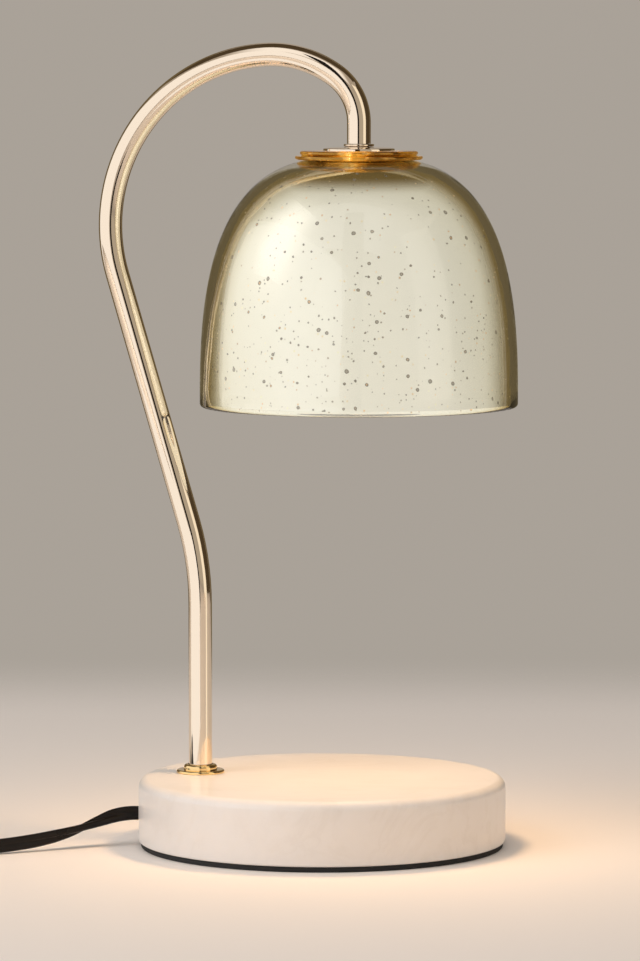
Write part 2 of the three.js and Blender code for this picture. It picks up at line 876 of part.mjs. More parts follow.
function crimpCap(side) {
  const radius = crimpDiameter / 2;
  const cap = revolve([
    [radius - crimpWall, 0],
    [radius, 0],
    [radius, crimpLength - crimpWall * 2],
    [radius * crimpTipShare, crimpLength],
    [0, crimpLength],
    [0, crimpLength - crimpWall * 2],
    [radius - crimpWall, crimpLength - crimpWall * 3],
    [radius - crimpWall, 0],
  ], 14).rotateY(Math.PI / 2);
  return cap.translate(crimpMouth, side * crimpY, crimpHeight);
}

const cordOuterStart = baseDiameter / 2 - bushingLength * cordSeatShare;
const cordInnerEnd = recessInset + recessRadius / 2;

function innerCord() {
  const section = flatTwinShape(cordWidth / 2, cordThickness / 2);
  const length = cordOuterStart - fitGap - cordInnerEnd;
  const piece = prism(section, length).rotateY(Math.PI / 2).translate(cordInnerEnd, 0, cordHoleHeight);
  return cordDirection(piece);
}

// Where the split cord's cores run in the recess: plan places as shares of its radius from its
// axis, and heights as shares of the crimp caps' height. The live core dips under the others.
const liveCoreShares = [[-0.05, -0.5, 0.8], [0.04, -0.21, 0.5], [0.03, 0.07, 0.5], [0.07, 0.25, 0.77]];
const neutralCoreShares = [[-0.05, -0.5, 1.39], [0.095, -0.33, 1.11]];

function cordCore(side) {
  // One core of the split cord, from the cord's inner end to its crimp cap.
  const outward = new THREE.Vector3(-1, 0, 0).applyAxisAngle(upright, cordTurn * degrees);
  const start = outward.clone().setLength(cordInnerEnd - fitGap);
  const straight = outward.clone().setLength(cordInnerEnd - cordThickness);
  const level = cordHoleHeight - side * cordThickness / 2;
  const sideY = side * (crimpY + wireDiameter / 2 + fitGap / 2);
  const shares = side > 0 ? liveCoreShares : neutralCoreShares;
  const middle = shares.map(([x, y, z]) => [
    x * recessRadius - recessInset, y * recessRadius, z * crimpHeight,
  ]);
  const route = [
    [start.x, start.y, level],
    [straight.x, straight.y, level],
    ...middle,
    [crimpMouth - wireDiameter, sideY, crimpHeight],
    [crimpMouth + crimpLength / 3, sideY, crimpHeight],
  ];
  return sweep(smoothRoute(route, 11), circleShape(wireDiameter / 2), 3);
}

// Cord: hand-set points, in the layout that is turned by cordTurn

const cordHeight = floorGap + cordWidth / 2;
const coilTurn = coilStepAngle * degrees;

function coilHeading(angle) {
  // The coil is wound clockwise, seen from above.
  return new THREE.Vector3(Math.sin(angle), -Math.cos(angle), 0);
}

function coilStations() {
  // In on the lower layer and out on the upper one; the climb takes the half turn between.
  const half = coilSteps / 2;
  const climbSteps = Math.PI / coilTurn;
  const first = coilStartAngle * degrees;
  const turns = Array.from({ length: coilSteps + 1 }, (_, i) => {
    const angle = first - i * coilTurn;
    const inward = coilPitch * (half - Math.abs(i - half)) * coilTurn / (2 * Math.PI);
    const rise = THREE.MathUtils.clamp((i - half) / climbSteps + 1 / 2, 0, 1);
    const radius = coilRadius - inward;
    return new THREE.Vector3(
      coilX + radius * Math.cos(angle),
      coilY + radius * Math.sin(angle),
      cordHeight + coilLayerPitch * rise,
    );
  });
  const last = first - coilSteps * coilTurn;
  const lead = coilHeading(first).multiplyScalar(-cordWidth).add(turns[0]);
  const exit = coilHeading(last).multiplyScalar(cordWidth).add(turns.at(-1));
  return [lead, ...turns, exit];
}

const coilPath = coilStations();
const coilEntry = coilPath[1].clone().sub(coilPath[0]).setLength(fitGap);
const coilExit = coilPath.at(-1).clone().sub(coilPath.at(-2)).setLength(fitGap);

function coilSection() {
  const w = cordWidth / 2;
  const t = cordThickness / 2;
  return polygonShape([[w, 0], [w - t, t], [t - w, t], [-w, 0], [t - w, -t], [w - t, -t]]);
}

function coilGap() {
  // The least gap between two turns at the same angle, as their six-sided sections leave it.
  const perTurn = Math.round(2 * Math.PI / coilTurn);
  const centre = new THREE.Vector3(coilX, coilY, 0);
  const flat = coilPath.slice(1, -1).map((point) => {
    const arm = point.clone().sub(centre);
    return [Math.hypot(arm.x, arm.y), arm.z];
  });
  let least = Infinity;
  flat.forEach(([radius, height], i) => {
    for (let j = i + perTurn; j < flat.length; j += perTurn) {
      const across = Math.abs(radius - flat[j][0]);
      const up = Math.abs(height - flat[j][1]);
      const beside = across - cordThickness;
      const above = up - cordWidth;
      const slanted = (across + up - cordWidth) / Math.SQRT2;
      least = Math.min(least, Math.max(beside, above, slanted));
    }
  });
  return least;
}

const leadRoute = [
  [-cordOuterStart, 0, cordHoleHeight],
  [-76, 0, 12.6], [-82, -2.2, 11.9], [-89, -5.2, 9.7], [-98, -9.8, 6.9], [-107, -14.4, 5],
  [-117, -19.8, 3.8], [-127.7, -25, 3.1], [-140, -31.2, 2.9], [-153, -37.4, 2.9],
  [-167, -43.2, 2.9], [-183, -48, 2.9], [-199, -50.6, 2.9], [-214, -50.6, 2.9],
  [-223.2, -48.8, 3.1], [-231, -43.6, 3.8], [-236.2, -35.8, 5.5], [-238, -27, 6.8],
  [-238, -22.5, 7], [-238, -19.6, 7],
];

const linkRoute = [
  [-238, 30.4, 7], [-238, 33.4, 7], [-238, 38.2, 6.8], [-236.2, 47.1, 5.5], [-231, 54.9, 3.9],
  [-223.2, 60.1, 3.2], [-214, 61.9, 2.9], [-207.8, 61.1, 2.9], [-202, 58.7, 2.9],
  [-190, 51.8, 2.9],
  coilPath[0].clone().sub(coilEntry).toArray(),
];

const tailRoute = [
  coilPath.at(-1).clone().add(coilExit).toArray(),
  [-175, 42.8, 9], [-163.5, 45.9, 8.7], [-156.2, 52.6, 7.5], [-152.3, 61.8, 6], [-152.8, 71.8, 4.9],
  [-157.4, 80.6, 4.4], [-165.3, 86.6, 4.8], [-175, 88.8, 5.8], [-181, 88.8, 6.1], [-185, 88.8, 6.1],
];

function freeCord(route, steps) {
  return sweepFlat(smoothRoute(route, steps), flatTwinShape(cordWidth / 2, cordThickness / 2));
}

// Inline dimmer, made with the cord along X and its underside at height zero

const wheelRadius = wheelDiameter / 2;
const axleHeight = dimmerHeight + wheelProud - wheelRadius;
const postInner = wheelWidth / 2 + fitGap;
const caseScrewX = dimmerLength / 2 - caseScrewInset;
const screwColumn = caseScrewDiameter / 2 + fitGap + columnWall;
const headPocket = screwHeadHeight + fitGap;

function dimmerCase() {
  const outline = roundedBox(dimmerLength, dimmerWidth, dimmerCorner);
  const body = new THREE.ExtrudeGeometry(outline, {
    depth: dimmerHeight - 2 * dimmerEdge,
    bevelThickness: dimmerEdge,
    bevelSize: dimmerEdge,
    bevelOffset: -dimmerEdge,
    bevelSegments: 2,
    curveSegments: 3,
  });
  return body.translate(0, 0, dimmerEdge);
}

function dimmerCavity() {
  const inner = roundedBox(
    dimmerLength - 2 * dimmerWall, dimmerWidth - 2 * dimmerWall, dimmerCorner - dimmerWall);
  return prism(inner, dimmerHeight - 2 * dimmerWall, 3).translate(0, 0, dimmerWall);
}

function halfSpace(bottom, top) {
  const box = new THREE.BoxGeometry(2 * dimmerLength, 2 * dimmerWidth, top - bottom);
  return box.translate(0, 0, (top + bottom) / 2);
}

function cordEntries() {
  const slot = prism(
    flatTwinShape(cordWidth / 2 + cordPlay, cordThickness / 2 + cordPlay),
    dimmerLength + 2 * cutOverrun,
  );
  return slot.rotateY(Math.PI / 2).translate(-dimmerLength / 2 - cutOverrun, 0, dimmerSplit);
}

function screwColumns(bottom, top) {
  return [-caseScrewX, caseScrewX].map((x) => rod(screwColumn, bottom, top, 14).translate(x, 0, 0));
}

function screwHoles(bottom, top) {
  const radius = caseScrewDiameter / 2 + fitGap;
  return [-caseScrewX, caseScrewX].map((x) => rod(radius, bottom, top, 12).translate(x, 0, 0));
}

const screwTip = headPocket + caseScrewLength;

function dimmerLowerCase() {
  const shell = cut(dimmerCase(), dimmerCavity(), halfSpace(dimmerSplit, dimmerHeight + cutOverrun));
  const postTop = axleHeight - axleDiameter / 2 - fitGap;
  const posts = [-1, 1].map((side) => {
    const height = postTop - dimmerWall / 2;
    const post = new THREE.BoxGeometry(wheelRadius, postThickness, height);
    return post.translate(0, side * (postInner + postThickness / 2), dimmerWall / 2 + height / 2);
  });
  const whole = join(shell, ...screwColumns(dimmerWall / 2, dimmerSplit), ...posts);
  const pockets = [-caseScrewX, caseScrewX].map((x) => rod(
    screwHeadDiameter / 2 + fitGap, -cutOverrun, headPocket, 14).translate(x, 0, 0));
  return cut(whole, cordEntries(), ...screwHoles(0, dimmerSplit + cutOverrun), ...pockets);
}

function dimmerUpperCase() {
  // Two ears hang from the roof on each side of the wheel and hold the axle.
  const lower = halfSpace(-cutOverrun, dimmerSplit + seatGap);
  const shell = cut(dimmerCase(), dimmerCavity(), lower);
  const earBottom = axleHeight - axleDiameter / 2 - fitGap + seatGap;
  const ears = [-1, 1].map((side) => {
    const height = dimmerHeight - dimmerWall / 2 - earBottom;
    const ear = new THREE.BoxGeometry(wheelRadius, postThickness, height);
    return ear.translate(0, side * (postInner + postThickness / 2), earBottom + height / 2);
  });
  const columns = screwColumns(dimmerSplit + seatGap, dimmerHeight - dimmerWall / 2);
  const whole = join(shell, ...columns, ...ears);
  const slot = prism(
    roundedBox(dimmerSlotLength(), wheelWidth + 2 * fitGap, fitGap), dimmerHeight, 2);
  const axle = new THREE.CylinderGeometry(
    axleDiameter / 2 + fitGap, axleDiameter / 2 + fitGap, axleLength + 2 * fitGap, 16);
  const holes = screwHoles(dimmerSplit - cutOverrun, screwTip + fitGap);
  return cut(
    whole, cordEntries(), slot.translate(0, 0, dimmerSplit), axle.translate(0, 0, axleHeight), ...holes);
}

function dimmerSlotLength() {
  // Wide enough for the wheel where it passes through the case's roof, on its inner side.
  const above = dimmerHeight - dimmerWall - axleHeight;
  return 2 * (Math.sqrt(wheelRadius ** 2 - above ** 2) + 2 * fitGap);
}

function dimmerWheel() {
  const count = wheelRibs * 2;
  const rim = Array.from({ length: count }, (_, i) => {
    const angle = i * 2 * Math.PI / count;
    const radius = wheelRadius - (i % 2) * wheelRib;
    return [radius * Math.cos(angle), radius * Math.sin(angle)];
  });
  const shape = polygonShape(rim);
  shape.holes.push(new THREE.Path().absarc(0, 0, axleDiameter / 2 + fitGap, 0, 2 * Math.PI, true));
  const wheel = prism(shape, wheelWidth, 8).rotateX(Math.PI / 2);
  return wheel.translate(0, wheelWidth / 2, axleHeight);
}

function dimmerAxle() {
  const axle = new THREE.CylinderGeometry(axleDiameter / 2, axleDiameter / 2, axleLength, 12);
  return axle.translate(0, 0, axleHeight);
}

function dimmerBoard() {
  // The board stands on edge beside the axle.
  const bottom = dimmerWall + seatGap;
  const height = dimmerHeight - dimmerWall - bottom - dimmerEdge;
  const y = dimmerWidth / 2 - dimmerWall - fitGap - boardThickness / 2;
  const board = new THREE.BoxGeometry(boardLength, boardThickness, height);
  return board.translate(0, y, bottom + height / 2);
}

function caseScrew(side) {
  const screw = panScrew(caseScrewDiameter / 2, screwTip - headPocket).rotateX(Math.PI);
  return screw.translate(side * caseScrewX, 0, headPocket - seatGap);
}

// Plug, made with its blades towards +X and its axis at height zero

const plugLength = plugReliefLength + plugBodyLength;
const bladeRoot = bladeWidth / 2;

function plugBody() {
  // The plan is drawn inside the rounded edge, which the bevel then adds all round.
  const half = plugBodyWidth / 2 - plugEdge;
  const neck = plugReliefWidth / 2 - plugEdge / 2;
  const back = plugReliefLength + plugEdge;
  const front = plugLength - plugEdge;
  const shoulder = plugReliefLength + plugBodyLength / 2;
  const plan = new THREE.Shape();
  plan.moveTo(back, -neck);
  plan.quadraticCurveTo(back + plugEdge, -half, shoulder, -half);
  plan.lineTo(front - plugEdge, -half);
  plan.quadraticCurveTo(front, -half, front, plugEdge - half);
  plan.lineTo(front, half - plugEdge);
  plan.quadraticCurveTo(front, half, front - plugEdge, half);
  plan.lineTo(shoulder, half);
  plan.quadraticCurveTo(back + plugEdge, half, back, neck);
  const body = new THREE.ExtrudeGeometry(plan, {
    depth: plugBodyHeight - 2 * plugEdge,
    bevelThickness: plugEdge,
    bevelSize: plugEdge,
    bevelSegments: 2,
    curveSegments: 4,
  }).translate(0, 0, plugEdge - plugBodyHeight / 2);
  const relief = new THREE.CylinderGeometry(
    plugReliefWidth / 2 + plugEdge / 2, plugReliefWidth / 2, plugReliefLength + plugEdge * 2, 14);
  relief.rotateZ(-Math.PI / 2).translate(plugReliefLength / 2 + plugEdge, 0, 0);
  const entry = prism(
    flatTwinShape(cordWidth / 2 + cordPlay, cordThickness / 2 + cordPlay), 2 * cordWidth);
  entry.rotateY(Math.PI / 2).translate(-cordWidth, 0, 0);
  const slots = [-1, 1].map((side) => {
    const slot = new THREE.BoxGeometry(
      bladeRoot + cutOverrun, bladeThickness + 2 * fitGap, bladeHeight(side) + 2 * fitGap);
    const x = plugLength - bladeRoot + (bladeRoot + cutOverrun) / 2;
    return slot.translate(x, side * bladeSpacing / 2, 0);
  });
  return cut(join(body, relief), entry, ...slots);
}

function bladeHeight(side) {
  return side > 0 ? wideBladeWidth : bladeWidth;
}

function plugBlade(side) {
  // Chamfered tip and one round hole, as a flat blade has.
  const half = bladeHeight(side) / 2;
  const end = bladeRoot + bladeLength;
  const blade = polygonShape([
    [fitGap, -half], [end - bladeTip, -half], [end, bladeTip - half],
    [end, half - bladeTip], [end - bladeTip, half], [fitGap, half],
  ]);
  blade.holes.push(new THREE.Path().absarc(
    end - bladeWidth / 2, 0, bladeThickness, 0, 2 * Math.PI, true));
  const plate = prism(blade, bladeThickness, 6).rotateX(Math.PI / 2);
  return plate.translate(plugLength - bladeRoot, side * bladeSpacing / 2 + bladeThickness / 2, 0);
}

// Looks: colour, roughness, metalness

const looks = {
  marble: [0xf1ede8, 0.35, 0],
  pad: [0x121212, 0.9, 0],
  brass: [0xe3c79a, 0.18, 1],
  steel: [0xb9b9b4, 0.35, 1],
  amberGlass: [0xc9833a, 0.1, 0.1],
  mirrorGlass: [0xd9c6a4, 0.15, 0.9],
  rubber: [0x1a1a1a, 0.8, 0],
  fibre: [0x8d6a4a, 0.9, 0],
  ceramic: [0xeeeae2, 0.45, 0],
  bronze: [0xb98a4e, 0.3, 1],
  reflector: [0xe6e6ea, 0.1, 0.9],
  clearGlass: [0xf4f6f6, 0.05, 0],
  wireLive: [0x1c1c1c, 0.6, 0],
  wireNeutral: [0xe8e4dc, 0.6, 0],
  crimp: [0xd9d2bf, 0.5, 0],
  cord: [0x15110f, 0.5, 0],
  moulding: [0x161616, 0.45, 0],
  wheel: [0x242424, 0.6, 0],
  board: [0x2f6b3c, 0.6, 0],
  blade: [0xd2b06a, 0.25, 1],
};

function piece(name, geometry, look) {
  const [color, roughness, metalness] = looks[look];
  const material = new THREE.MeshStandardMaterial({ color, roughness, metalness });
  const mesh = new THREE.Mesh(closed(geometry), material);
  mesh.name = name;
  return mesh;
}

const lamp = new THREE.Group();
lamp.add(
  piece('base_pad', basePad(), 'pad'),
  piece('marble_base', marbleBase(), 'marble'),
  piece('cord_bushing', cordBushing(), 'rubber'),
  piece('arm_flange', armFlange(), 'brass'),
  piece('arm_tube', armTube(), 'brass'),
  piece('base_nipple', baseNipple(), 'steel'),
  piece('base_washer', baseWasher(), 'steel'),
  piece('base_lock_washer', baseLockWasher(), 'steel'),
  piece('base_nut', baseNut(), 'steel'),
  piece('crown_nipple', crownNipple(), 'steel'),
  piece('tube_ring', tubeRing(), 'brass'),
  piece('canopy_washer', canopyWasher(), 'brass'),
  piece('glass_collar', glassCollar(), 'amberGlass'),
  piece('shade', shade(), 'mirrorGlass'),
  piece('shade_gasket', shadeGasket(), 'fibre'),
  piece('crown_washer', crownWasher(), 'steel'),
  piece('crown_nut', crownNut(), 'steel'),
  piece('socket_bracket', socketBracket(), 'steel'),
  piece('bracket_nut', bracketNut(), 'steel'),
  piece('lamp_socket', lampSocket(), 'ceramic'),
  piece('inner_cord', innerCord(), 'cord'),
);
const wireNames = [['live', 1, 'wireLive'], ['neutral', -1, 'wireNeutral']];
for (const [line, side, look] of wireNames) {
  lamp.add(
    piece(`lead_wire_${line}`, leadWire(side), look),
    piece(`cord_core_${line}`, cordCore(side), look),
    piece(`crimp_cap_${line}`, crimpCap(side), 'crimp'),
    piece(`socket_contact_${line}`, socketContact(side), 'bronze'),
  );
}
[-1, 1].forEach((side, i) => lamp.add(piece(`bracket_screw_${i + 1}`, bracketScrew(side), 'steel')));

const bulb = new THREE.Group();
bulb.add(
  piece('bulb_reflector', bulbReflector(), 'reflector'),
  piece('bulb_lens', bulbLens(), 'clearGlass'),
  piece('bulb_capsule', bulbCapsule(), 'clearGlass'),
  piece('bulb_cap', bulbCap(), 'ceramic'),
  piece('bulb_pin_1', bulbPin(1), 'steel'),
  piece('bulb_pin_2', bulbPin(-1), 'steel'),
);
lamp.add(bulb);

const dimmer = new THREE.Group();
dimmer.position.set(dimmerX, dimmerY, floorGap);
dimmer.rotation.z = Math.PI / 2;
dimmer.add(
  piece('dimmer_lower_case', dimmerLowerCase(), 'moulding'),
  piece('dimmer_upper_case', dimmerUpperCase(), 'moulding'),
  piece('dimmer_wheel', dimmerWheel(), 'wheel'),
  piece('dimmer_axle', dimmerAxle(), 'steel'),
  piece('dimmer_board', dimmerBoard(), 'board'),
  piece('case_screw_1', caseScrew(-1), 'steel'),
  piece('case_screw_2', caseScrew(1), 'steel'),
);

const plug = new THREE.Group();
plug.position.set(plugX, plugY, floorGap + plugBodyHeight / 2);
plug.rotation.z = Math.PI;
plug.add(
  piece('plug_body', plugBody(), 'moulding'),
  piece('plug_blade_1', plugBlade(-1), 'blade'),
  piece('plug_blade_2', plugBlade(1), 'blade'),
);

const cordLayout = new THREE.Group();
cordLayout.rotation.z = cordTurn * degrees;
cordLayout.add(
  piece('cord_lead', freeCord(leadRoute, 26), 'cord'),
  piece('cord_link', freeCord(linkRoute, 15), 'cord'),
  piece('cord_coil', sweepFlat(coilPath, coilSection()), 'cord'),
  piece('cord_tail', freeCord(tailRoute, 16), 'cord'),
  dimmer,
  plug,
);
lamp.add(cordLayout);

const cordLength = [smoothRoute(leadRoute, 200), smoothRoute(linkRoute, 200), coilPath,
  smoothRoute(tailRoute, 200)].map(routeLength);
console.log(`cord stretches ${cordLength.map((length) => length.toFixed(0)).join(' + ')} mm`);
console.log(`coil: least gap to itself ${coilGap().toFixed(2)} mm`);

export default lamp;
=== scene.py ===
# %% [markdown]
# A small lamp with a warming bulb, dressed for its portrait. It stands on a round marble foot. A
# bent tube rises from the foot, arches over and carries a bell of silvered glass with the bulb
# inside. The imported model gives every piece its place. Here each piece gets its fine shape and
# its finish. Everything is in metres, with the origin under the middle of the foot and Z up.

# %% Setup
import json
import math

import bpy
from mathutils import Matrix, Vector
from mathutils.geometry import interpolate_bezier

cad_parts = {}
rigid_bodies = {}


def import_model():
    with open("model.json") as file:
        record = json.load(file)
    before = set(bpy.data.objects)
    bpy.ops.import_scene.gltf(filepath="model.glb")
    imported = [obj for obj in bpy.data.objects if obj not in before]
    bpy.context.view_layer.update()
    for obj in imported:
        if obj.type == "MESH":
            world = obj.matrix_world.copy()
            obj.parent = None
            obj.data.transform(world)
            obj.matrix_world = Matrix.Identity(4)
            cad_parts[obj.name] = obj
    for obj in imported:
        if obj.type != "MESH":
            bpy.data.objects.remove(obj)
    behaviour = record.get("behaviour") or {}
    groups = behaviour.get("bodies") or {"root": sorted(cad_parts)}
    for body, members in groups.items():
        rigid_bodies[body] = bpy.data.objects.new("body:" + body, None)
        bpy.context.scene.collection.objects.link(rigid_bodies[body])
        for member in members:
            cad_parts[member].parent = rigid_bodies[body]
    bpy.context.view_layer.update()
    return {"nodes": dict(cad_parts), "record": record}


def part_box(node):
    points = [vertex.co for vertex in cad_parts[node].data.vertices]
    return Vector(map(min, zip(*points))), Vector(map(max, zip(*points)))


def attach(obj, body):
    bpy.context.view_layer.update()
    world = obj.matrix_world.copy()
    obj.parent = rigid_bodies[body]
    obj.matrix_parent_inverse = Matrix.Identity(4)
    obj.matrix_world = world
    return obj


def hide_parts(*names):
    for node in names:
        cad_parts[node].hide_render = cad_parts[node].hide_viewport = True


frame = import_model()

nodes = frame["nodes"]
bpy.ops.object.select_all(action="DESELECT")
MM = 0.001

# %% [markdown]
# The camera comes first, because every choice of detail depends on what it sees. A long lens
# from two metres away keeps the lamp's uprights straight. It looks slightly down, and stands a
# little to the right of the plane that the arm is bent in.

# %% Camera
VIEW_TURN = math.radians(15)      # from the arm's plane to the picture's
CAMERA_LENS = 200
CAMERA_AWAY = 2.093
CAMERA_HEIGHT = 0.3166
CAMERA_SIDE = -0.0008
CAMERA_PITCH = math.radians(4.70)

camera = bpy.data.objects.new("camera", bpy.data.cameras.new("camera"))
bpy.context.collection.objects.link(camera)
camera.data.lens = CAMERA_LENS
around = Matrix.Rotation(VIEW_TURN, 3, "Z")
camera.location = around @ Vector((CAMERA_SIDE, -CAMERA_AWAY, CAMERA_HEIGHT))
camera.rotation_euler = (math.pi / 2 - CAMERA_PITCH, 0, VIEW_TURN)
bpy.context.scene.camera = camera
print("camera at", [round(v, 3) for v in camera.location])

# %% [markdown]
# A finish is a small network of shader nodes. Wiring nodes one by one is slow to read, so a
# short class wraps a socket and lets Python's own signs do sums on it: `mask * 2 - 1` adds two
# Math nodes.


# %% Shader sums
class Value:
    """A node's output that takes part in sums."""

    def __init__(self, finish, socket):
        self.finish = finish
        self.socket = socket

    def sum(self, operation, first, second):
        return self.finish.node("Math", {0: first, 1: second}, operation=operation)

    def __add__(self, other):
        return self.sum("ADD", self, other)

    def __sub__(self, other):
        return self.sum("SUBTRACT", self, other)

    def __rsub__(self, other):
        return self.sum("SUBTRACT", other, self)

    def __mul__(self, other):
        return self.sum("MULTIPLY", self, other)

    def __gt__(self, other):
        return self.sum("GREATER_THAN", self, other)

    def __or__(self, other):
        return self.sum("MAXIMUM", self, other)

    __radd__ = __add__
    __rmul__ = __mul__


# %% [markdown]
# A second class holds one material with its nodes. Every node that isn't a sum comes from one
# method, which takes the node's type, its settings and what goes into its sockets. The others are
# short names for what most finishes here need: a place on the piece, cloudy noise, a stretched
# value, a mix of two colours, a bump.


# %% Finishes
class Finish:
    """A material, or the world, and the nodes that make it."""

    def __init__(self, name, holder=None):
        self.material = holder or bpy.data.materials.new(name)
        self.material.use_nodes = True
        self.tree = self.material.node_tree
        self.tree.nodes.clear()

    def node(self, kind, sockets=None, out=0, stops=(), **settings):
        made = self.tree.nodes.new("ShaderNode" + kind)
        for name, value in settings.items():
            setattr(made, name, value)
        for place, (position, color) in enumerate(stops):
            elements = made.color_ramp.elements
            stop = elements[place] if place < 2 else elements.new(position)
            stop.position = position
            stop.color = (*color, 1)
        for key, value in (sockets or {}).items():
            if isinstance(value, Value):
                self.tree.links.new(value.socket, made.inputs[key])
            else:
                made.inputs[key].default_value = value
        return Value(self, made.outputs[out])

    def place(self, centre=(0, 0, 0), turn=(0, 0, 0), stretch=(1, 1, 1)):
        """Object coordinates in metres from a centre, turned and stretched."""
        coordinates = self.node("TexCoord", out="Object")
        moved = self.node("VectorMath", {0: coordinates, 1: centre}, operation="SUBTRACT")
        return self.node("Mapping", {"Vector": moved, "Rotation": turn, "Scale": stretch})

    def noise(self, size, detail=3.0, roughness=0.5, place=None, distortion=0.0):
        """Cloudy values from 0 to 1 whose blotches are about `size` metres wide."""
        return self.node("TexNoise", {
            "Vector": place or self.place(), "Scale": 1 / size, "Detail": detail,
            "Roughness": roughness, "Distortion": distortion,
        })

    def spread(self, value, low, high, kind="LINEAR"):
        """Stretches a value so that low becomes 0 and high becomes 1, and stops there."""
        ends = {"Value": value, "From Min": low, "From Max": high}
        return self.node("MapRange", ends, interpolation_type=kind)

    def mix(self, share, first, second):
        """A colour between two, by share."""
        first, second = ((*c, 1) if isinstance(c, tuple) else c for c in (first, second))
        return self.node("Mix", {0: share, 6: first, 7: second}, out=2, data_type="RGBA")

    def height(self):
        """How high a point of the piece is, in metres."""
        return self.node("SeparateXYZ", {0: self.node("TexCoord", out="Object")}, out=2)

    def bump(self, height, depth):
        """A normal from a height of 0 to 1 that stands for `depth` metres."""
        return self.node("Bump", {"Height": height, "Distance": depth})

    def surface(self, **sockets):
        """The shader itself. An underscore in a name stands for a space."""
        made = {}
        for name, value in sockets.items():
            made[name.replace("_", " ")] = (*value, 1) if isinstance(value, tuple) else value
        return self.finished(self.node("BsdfPrincipled", made))

    def finished(self, shader, kind="Material"):
        end = self.tree.nodes.new("ShaderNodeOutput" + kind)
        self.tree.links.new(shader.socket, end.inputs["Surface"])
        return self.material


# %% [markdown]
# The modelling helpers stand for what a hand does again and again: select some edges or faces,
# run one step in edit mode, put a modifier on and apply it, cut a hole with a second body.

# %% Hands
SMOOTH_BELOW = math.radians(35)
SAME_SPOT = 1e-6                  # corners closer than this are one


def only(piece):
    bpy.ops.object.select_all(action="DESELECT")
    piece.select_set(True)
    bpy.context.view_layer.objects.active = piece
    return piece


def settled(name="cutter"):
    """The piece just made: its place goes into its mesh, and it gets its name."""
    bpy.ops.object.transform_apply(location=True, rotation=True, scale=True)
    piece = bpy.context.object
    piece.name = piece.data.name = name
    return piece


def picked(piece, test, kind="EDGE"):
    """Opens edit mode with the edges or faces selected whose corners pass a test."""
    only(piece)
    bpy.ops.object.mode_set(mode="EDIT")
    bpy.ops.mesh.select_mode(type=kind)
    bpy.ops.mesh.select_all(action="DESELECT")
    bpy.ops.object.mode_set(mode="OBJECT")
    for item in piece.data.edges if kind == "EDGE" else piece.data.polygons:
        item.select = test([piece.data.vertices[v].co for v in item.vertices])
    bpy.ops.object.mode_set(mode="EDIT")


def closed_up():
    """Joins doubled corners and turns all faces outwards, then leaves edit mode."""
    bpy.ops.mesh.select_all(action="SELECT")
    bpy.ops.mesh.remove_doubles(threshold=SAME_SPOT)
    bpy.ops.mesh.normals_make_consistent(inside=False)
    bpy.ops.object.mode_set(mode="OBJECT")


def modify(piece, kind, **settings):
    only(piece)
    modifier = piece.modifiers.new(kind.lower(), kind)
    for name, value in settings.items():
        setattr(modifier, name, value)
    bpy.ops.object.modifier_apply(modifier=modifier.name)


def cut(piece, *tools, operation="DIFFERENCE"):
    """Takes each tool's body out of the piece, or joins it on."""
    for tool in tools:
        modify(piece, "BOOLEAN", object=tool, operation=operation, solver="EXACT")
        bpy.data.objects.remove(tool, do_unlink=True)
    return piece


def smooth(piece, angle=SMOOTH_BELOW):
    only(piece)
    bpy.ops.object.shade_smooth_by_angle(angle=angle)
    return piece


# %% [markdown]
# A finished piece needs more than a shape. It has a finish, it moves with one body of the lamp,
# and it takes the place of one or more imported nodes. Its place is in its mesh, so its object
# stays at the origin. One helper does all of this for each piece and prints how many faces the
# piece has.


# %% Dressing
def dress(piece, material, body="lamp", replaces=()):
    """Gives a piece its finish, its body and the nodes that it stands for."""
    piece.data.materials.clear()
    piece.data.materials.append(material)
    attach(piece, body)
    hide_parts(*replaces)
    print(piece.name, "-", len(piece.data.polygons), "faces")
    return piece


# %% [markdown]
# The flex is a flat twin cord: two round conductors side by side, joined by a thin web. It leaves
# the foot standing on its narrow side, rolls over as it comes down to the floor and runs to the
# dimmer. The spare length lies in a round coil, and the plug lies beside it. A cord could be
# dropped by a simulation, but then its length and its place come out a little different each
# time. Here its line is a smooth curve through given points, low and in wide bends, as weight
# and stiffness lay it.

# %% Cord line
CORD_WIDTH = 5.6 * MM
CORD_THICK = 2.8 * MM
CURVE_STEPS = 5


def laid(x, y, z):
    """A place in the cord's layout, given in millimetres, which is turned with the picture."""
    return around @ Vector((x, y, z)) * MM


def route(points, rolls=None):
    """Close points on a smooth line through given ones, each with its roll."""
    rolls = rolls or [0] * len(points)
    ends = [2 * points[0] - points[1], *points, 2 * points[-1] - points[-2]]
    line = []
    for i, (a, b, c, d) in enumerate(zip(ends, ends[1:], ends[2:], ends[3:])):
        s, t, u = (math.sqrt((q - p).length) for p, q in ((a, b), (b, c), (c, d)))
        leave = ((b - a) / s - (c - a) / (s + t) + (c - b) / t) * t / 3
        arrive = ((c - b) / t - (d - b) / (t + u) + (d - c) / u) * t / 3
        spots = interpolate_bezier(b, b + leave, c - arrive, c, CURVE_STEPS + 1)[:-1]
        for k, spot in enumerate(spots):
            roll = rolls[i] + (rolls[i + 1] - rolls[i]) * k / CURVE_STEPS
            line.append((spot, math.radians(roll)))
    return [*line, (points[-1], math.radians(rolls[-1]))]


def line_length(line):
    return sum((b[0] - a[0]).length for a, b in zip(line, line[1:]))


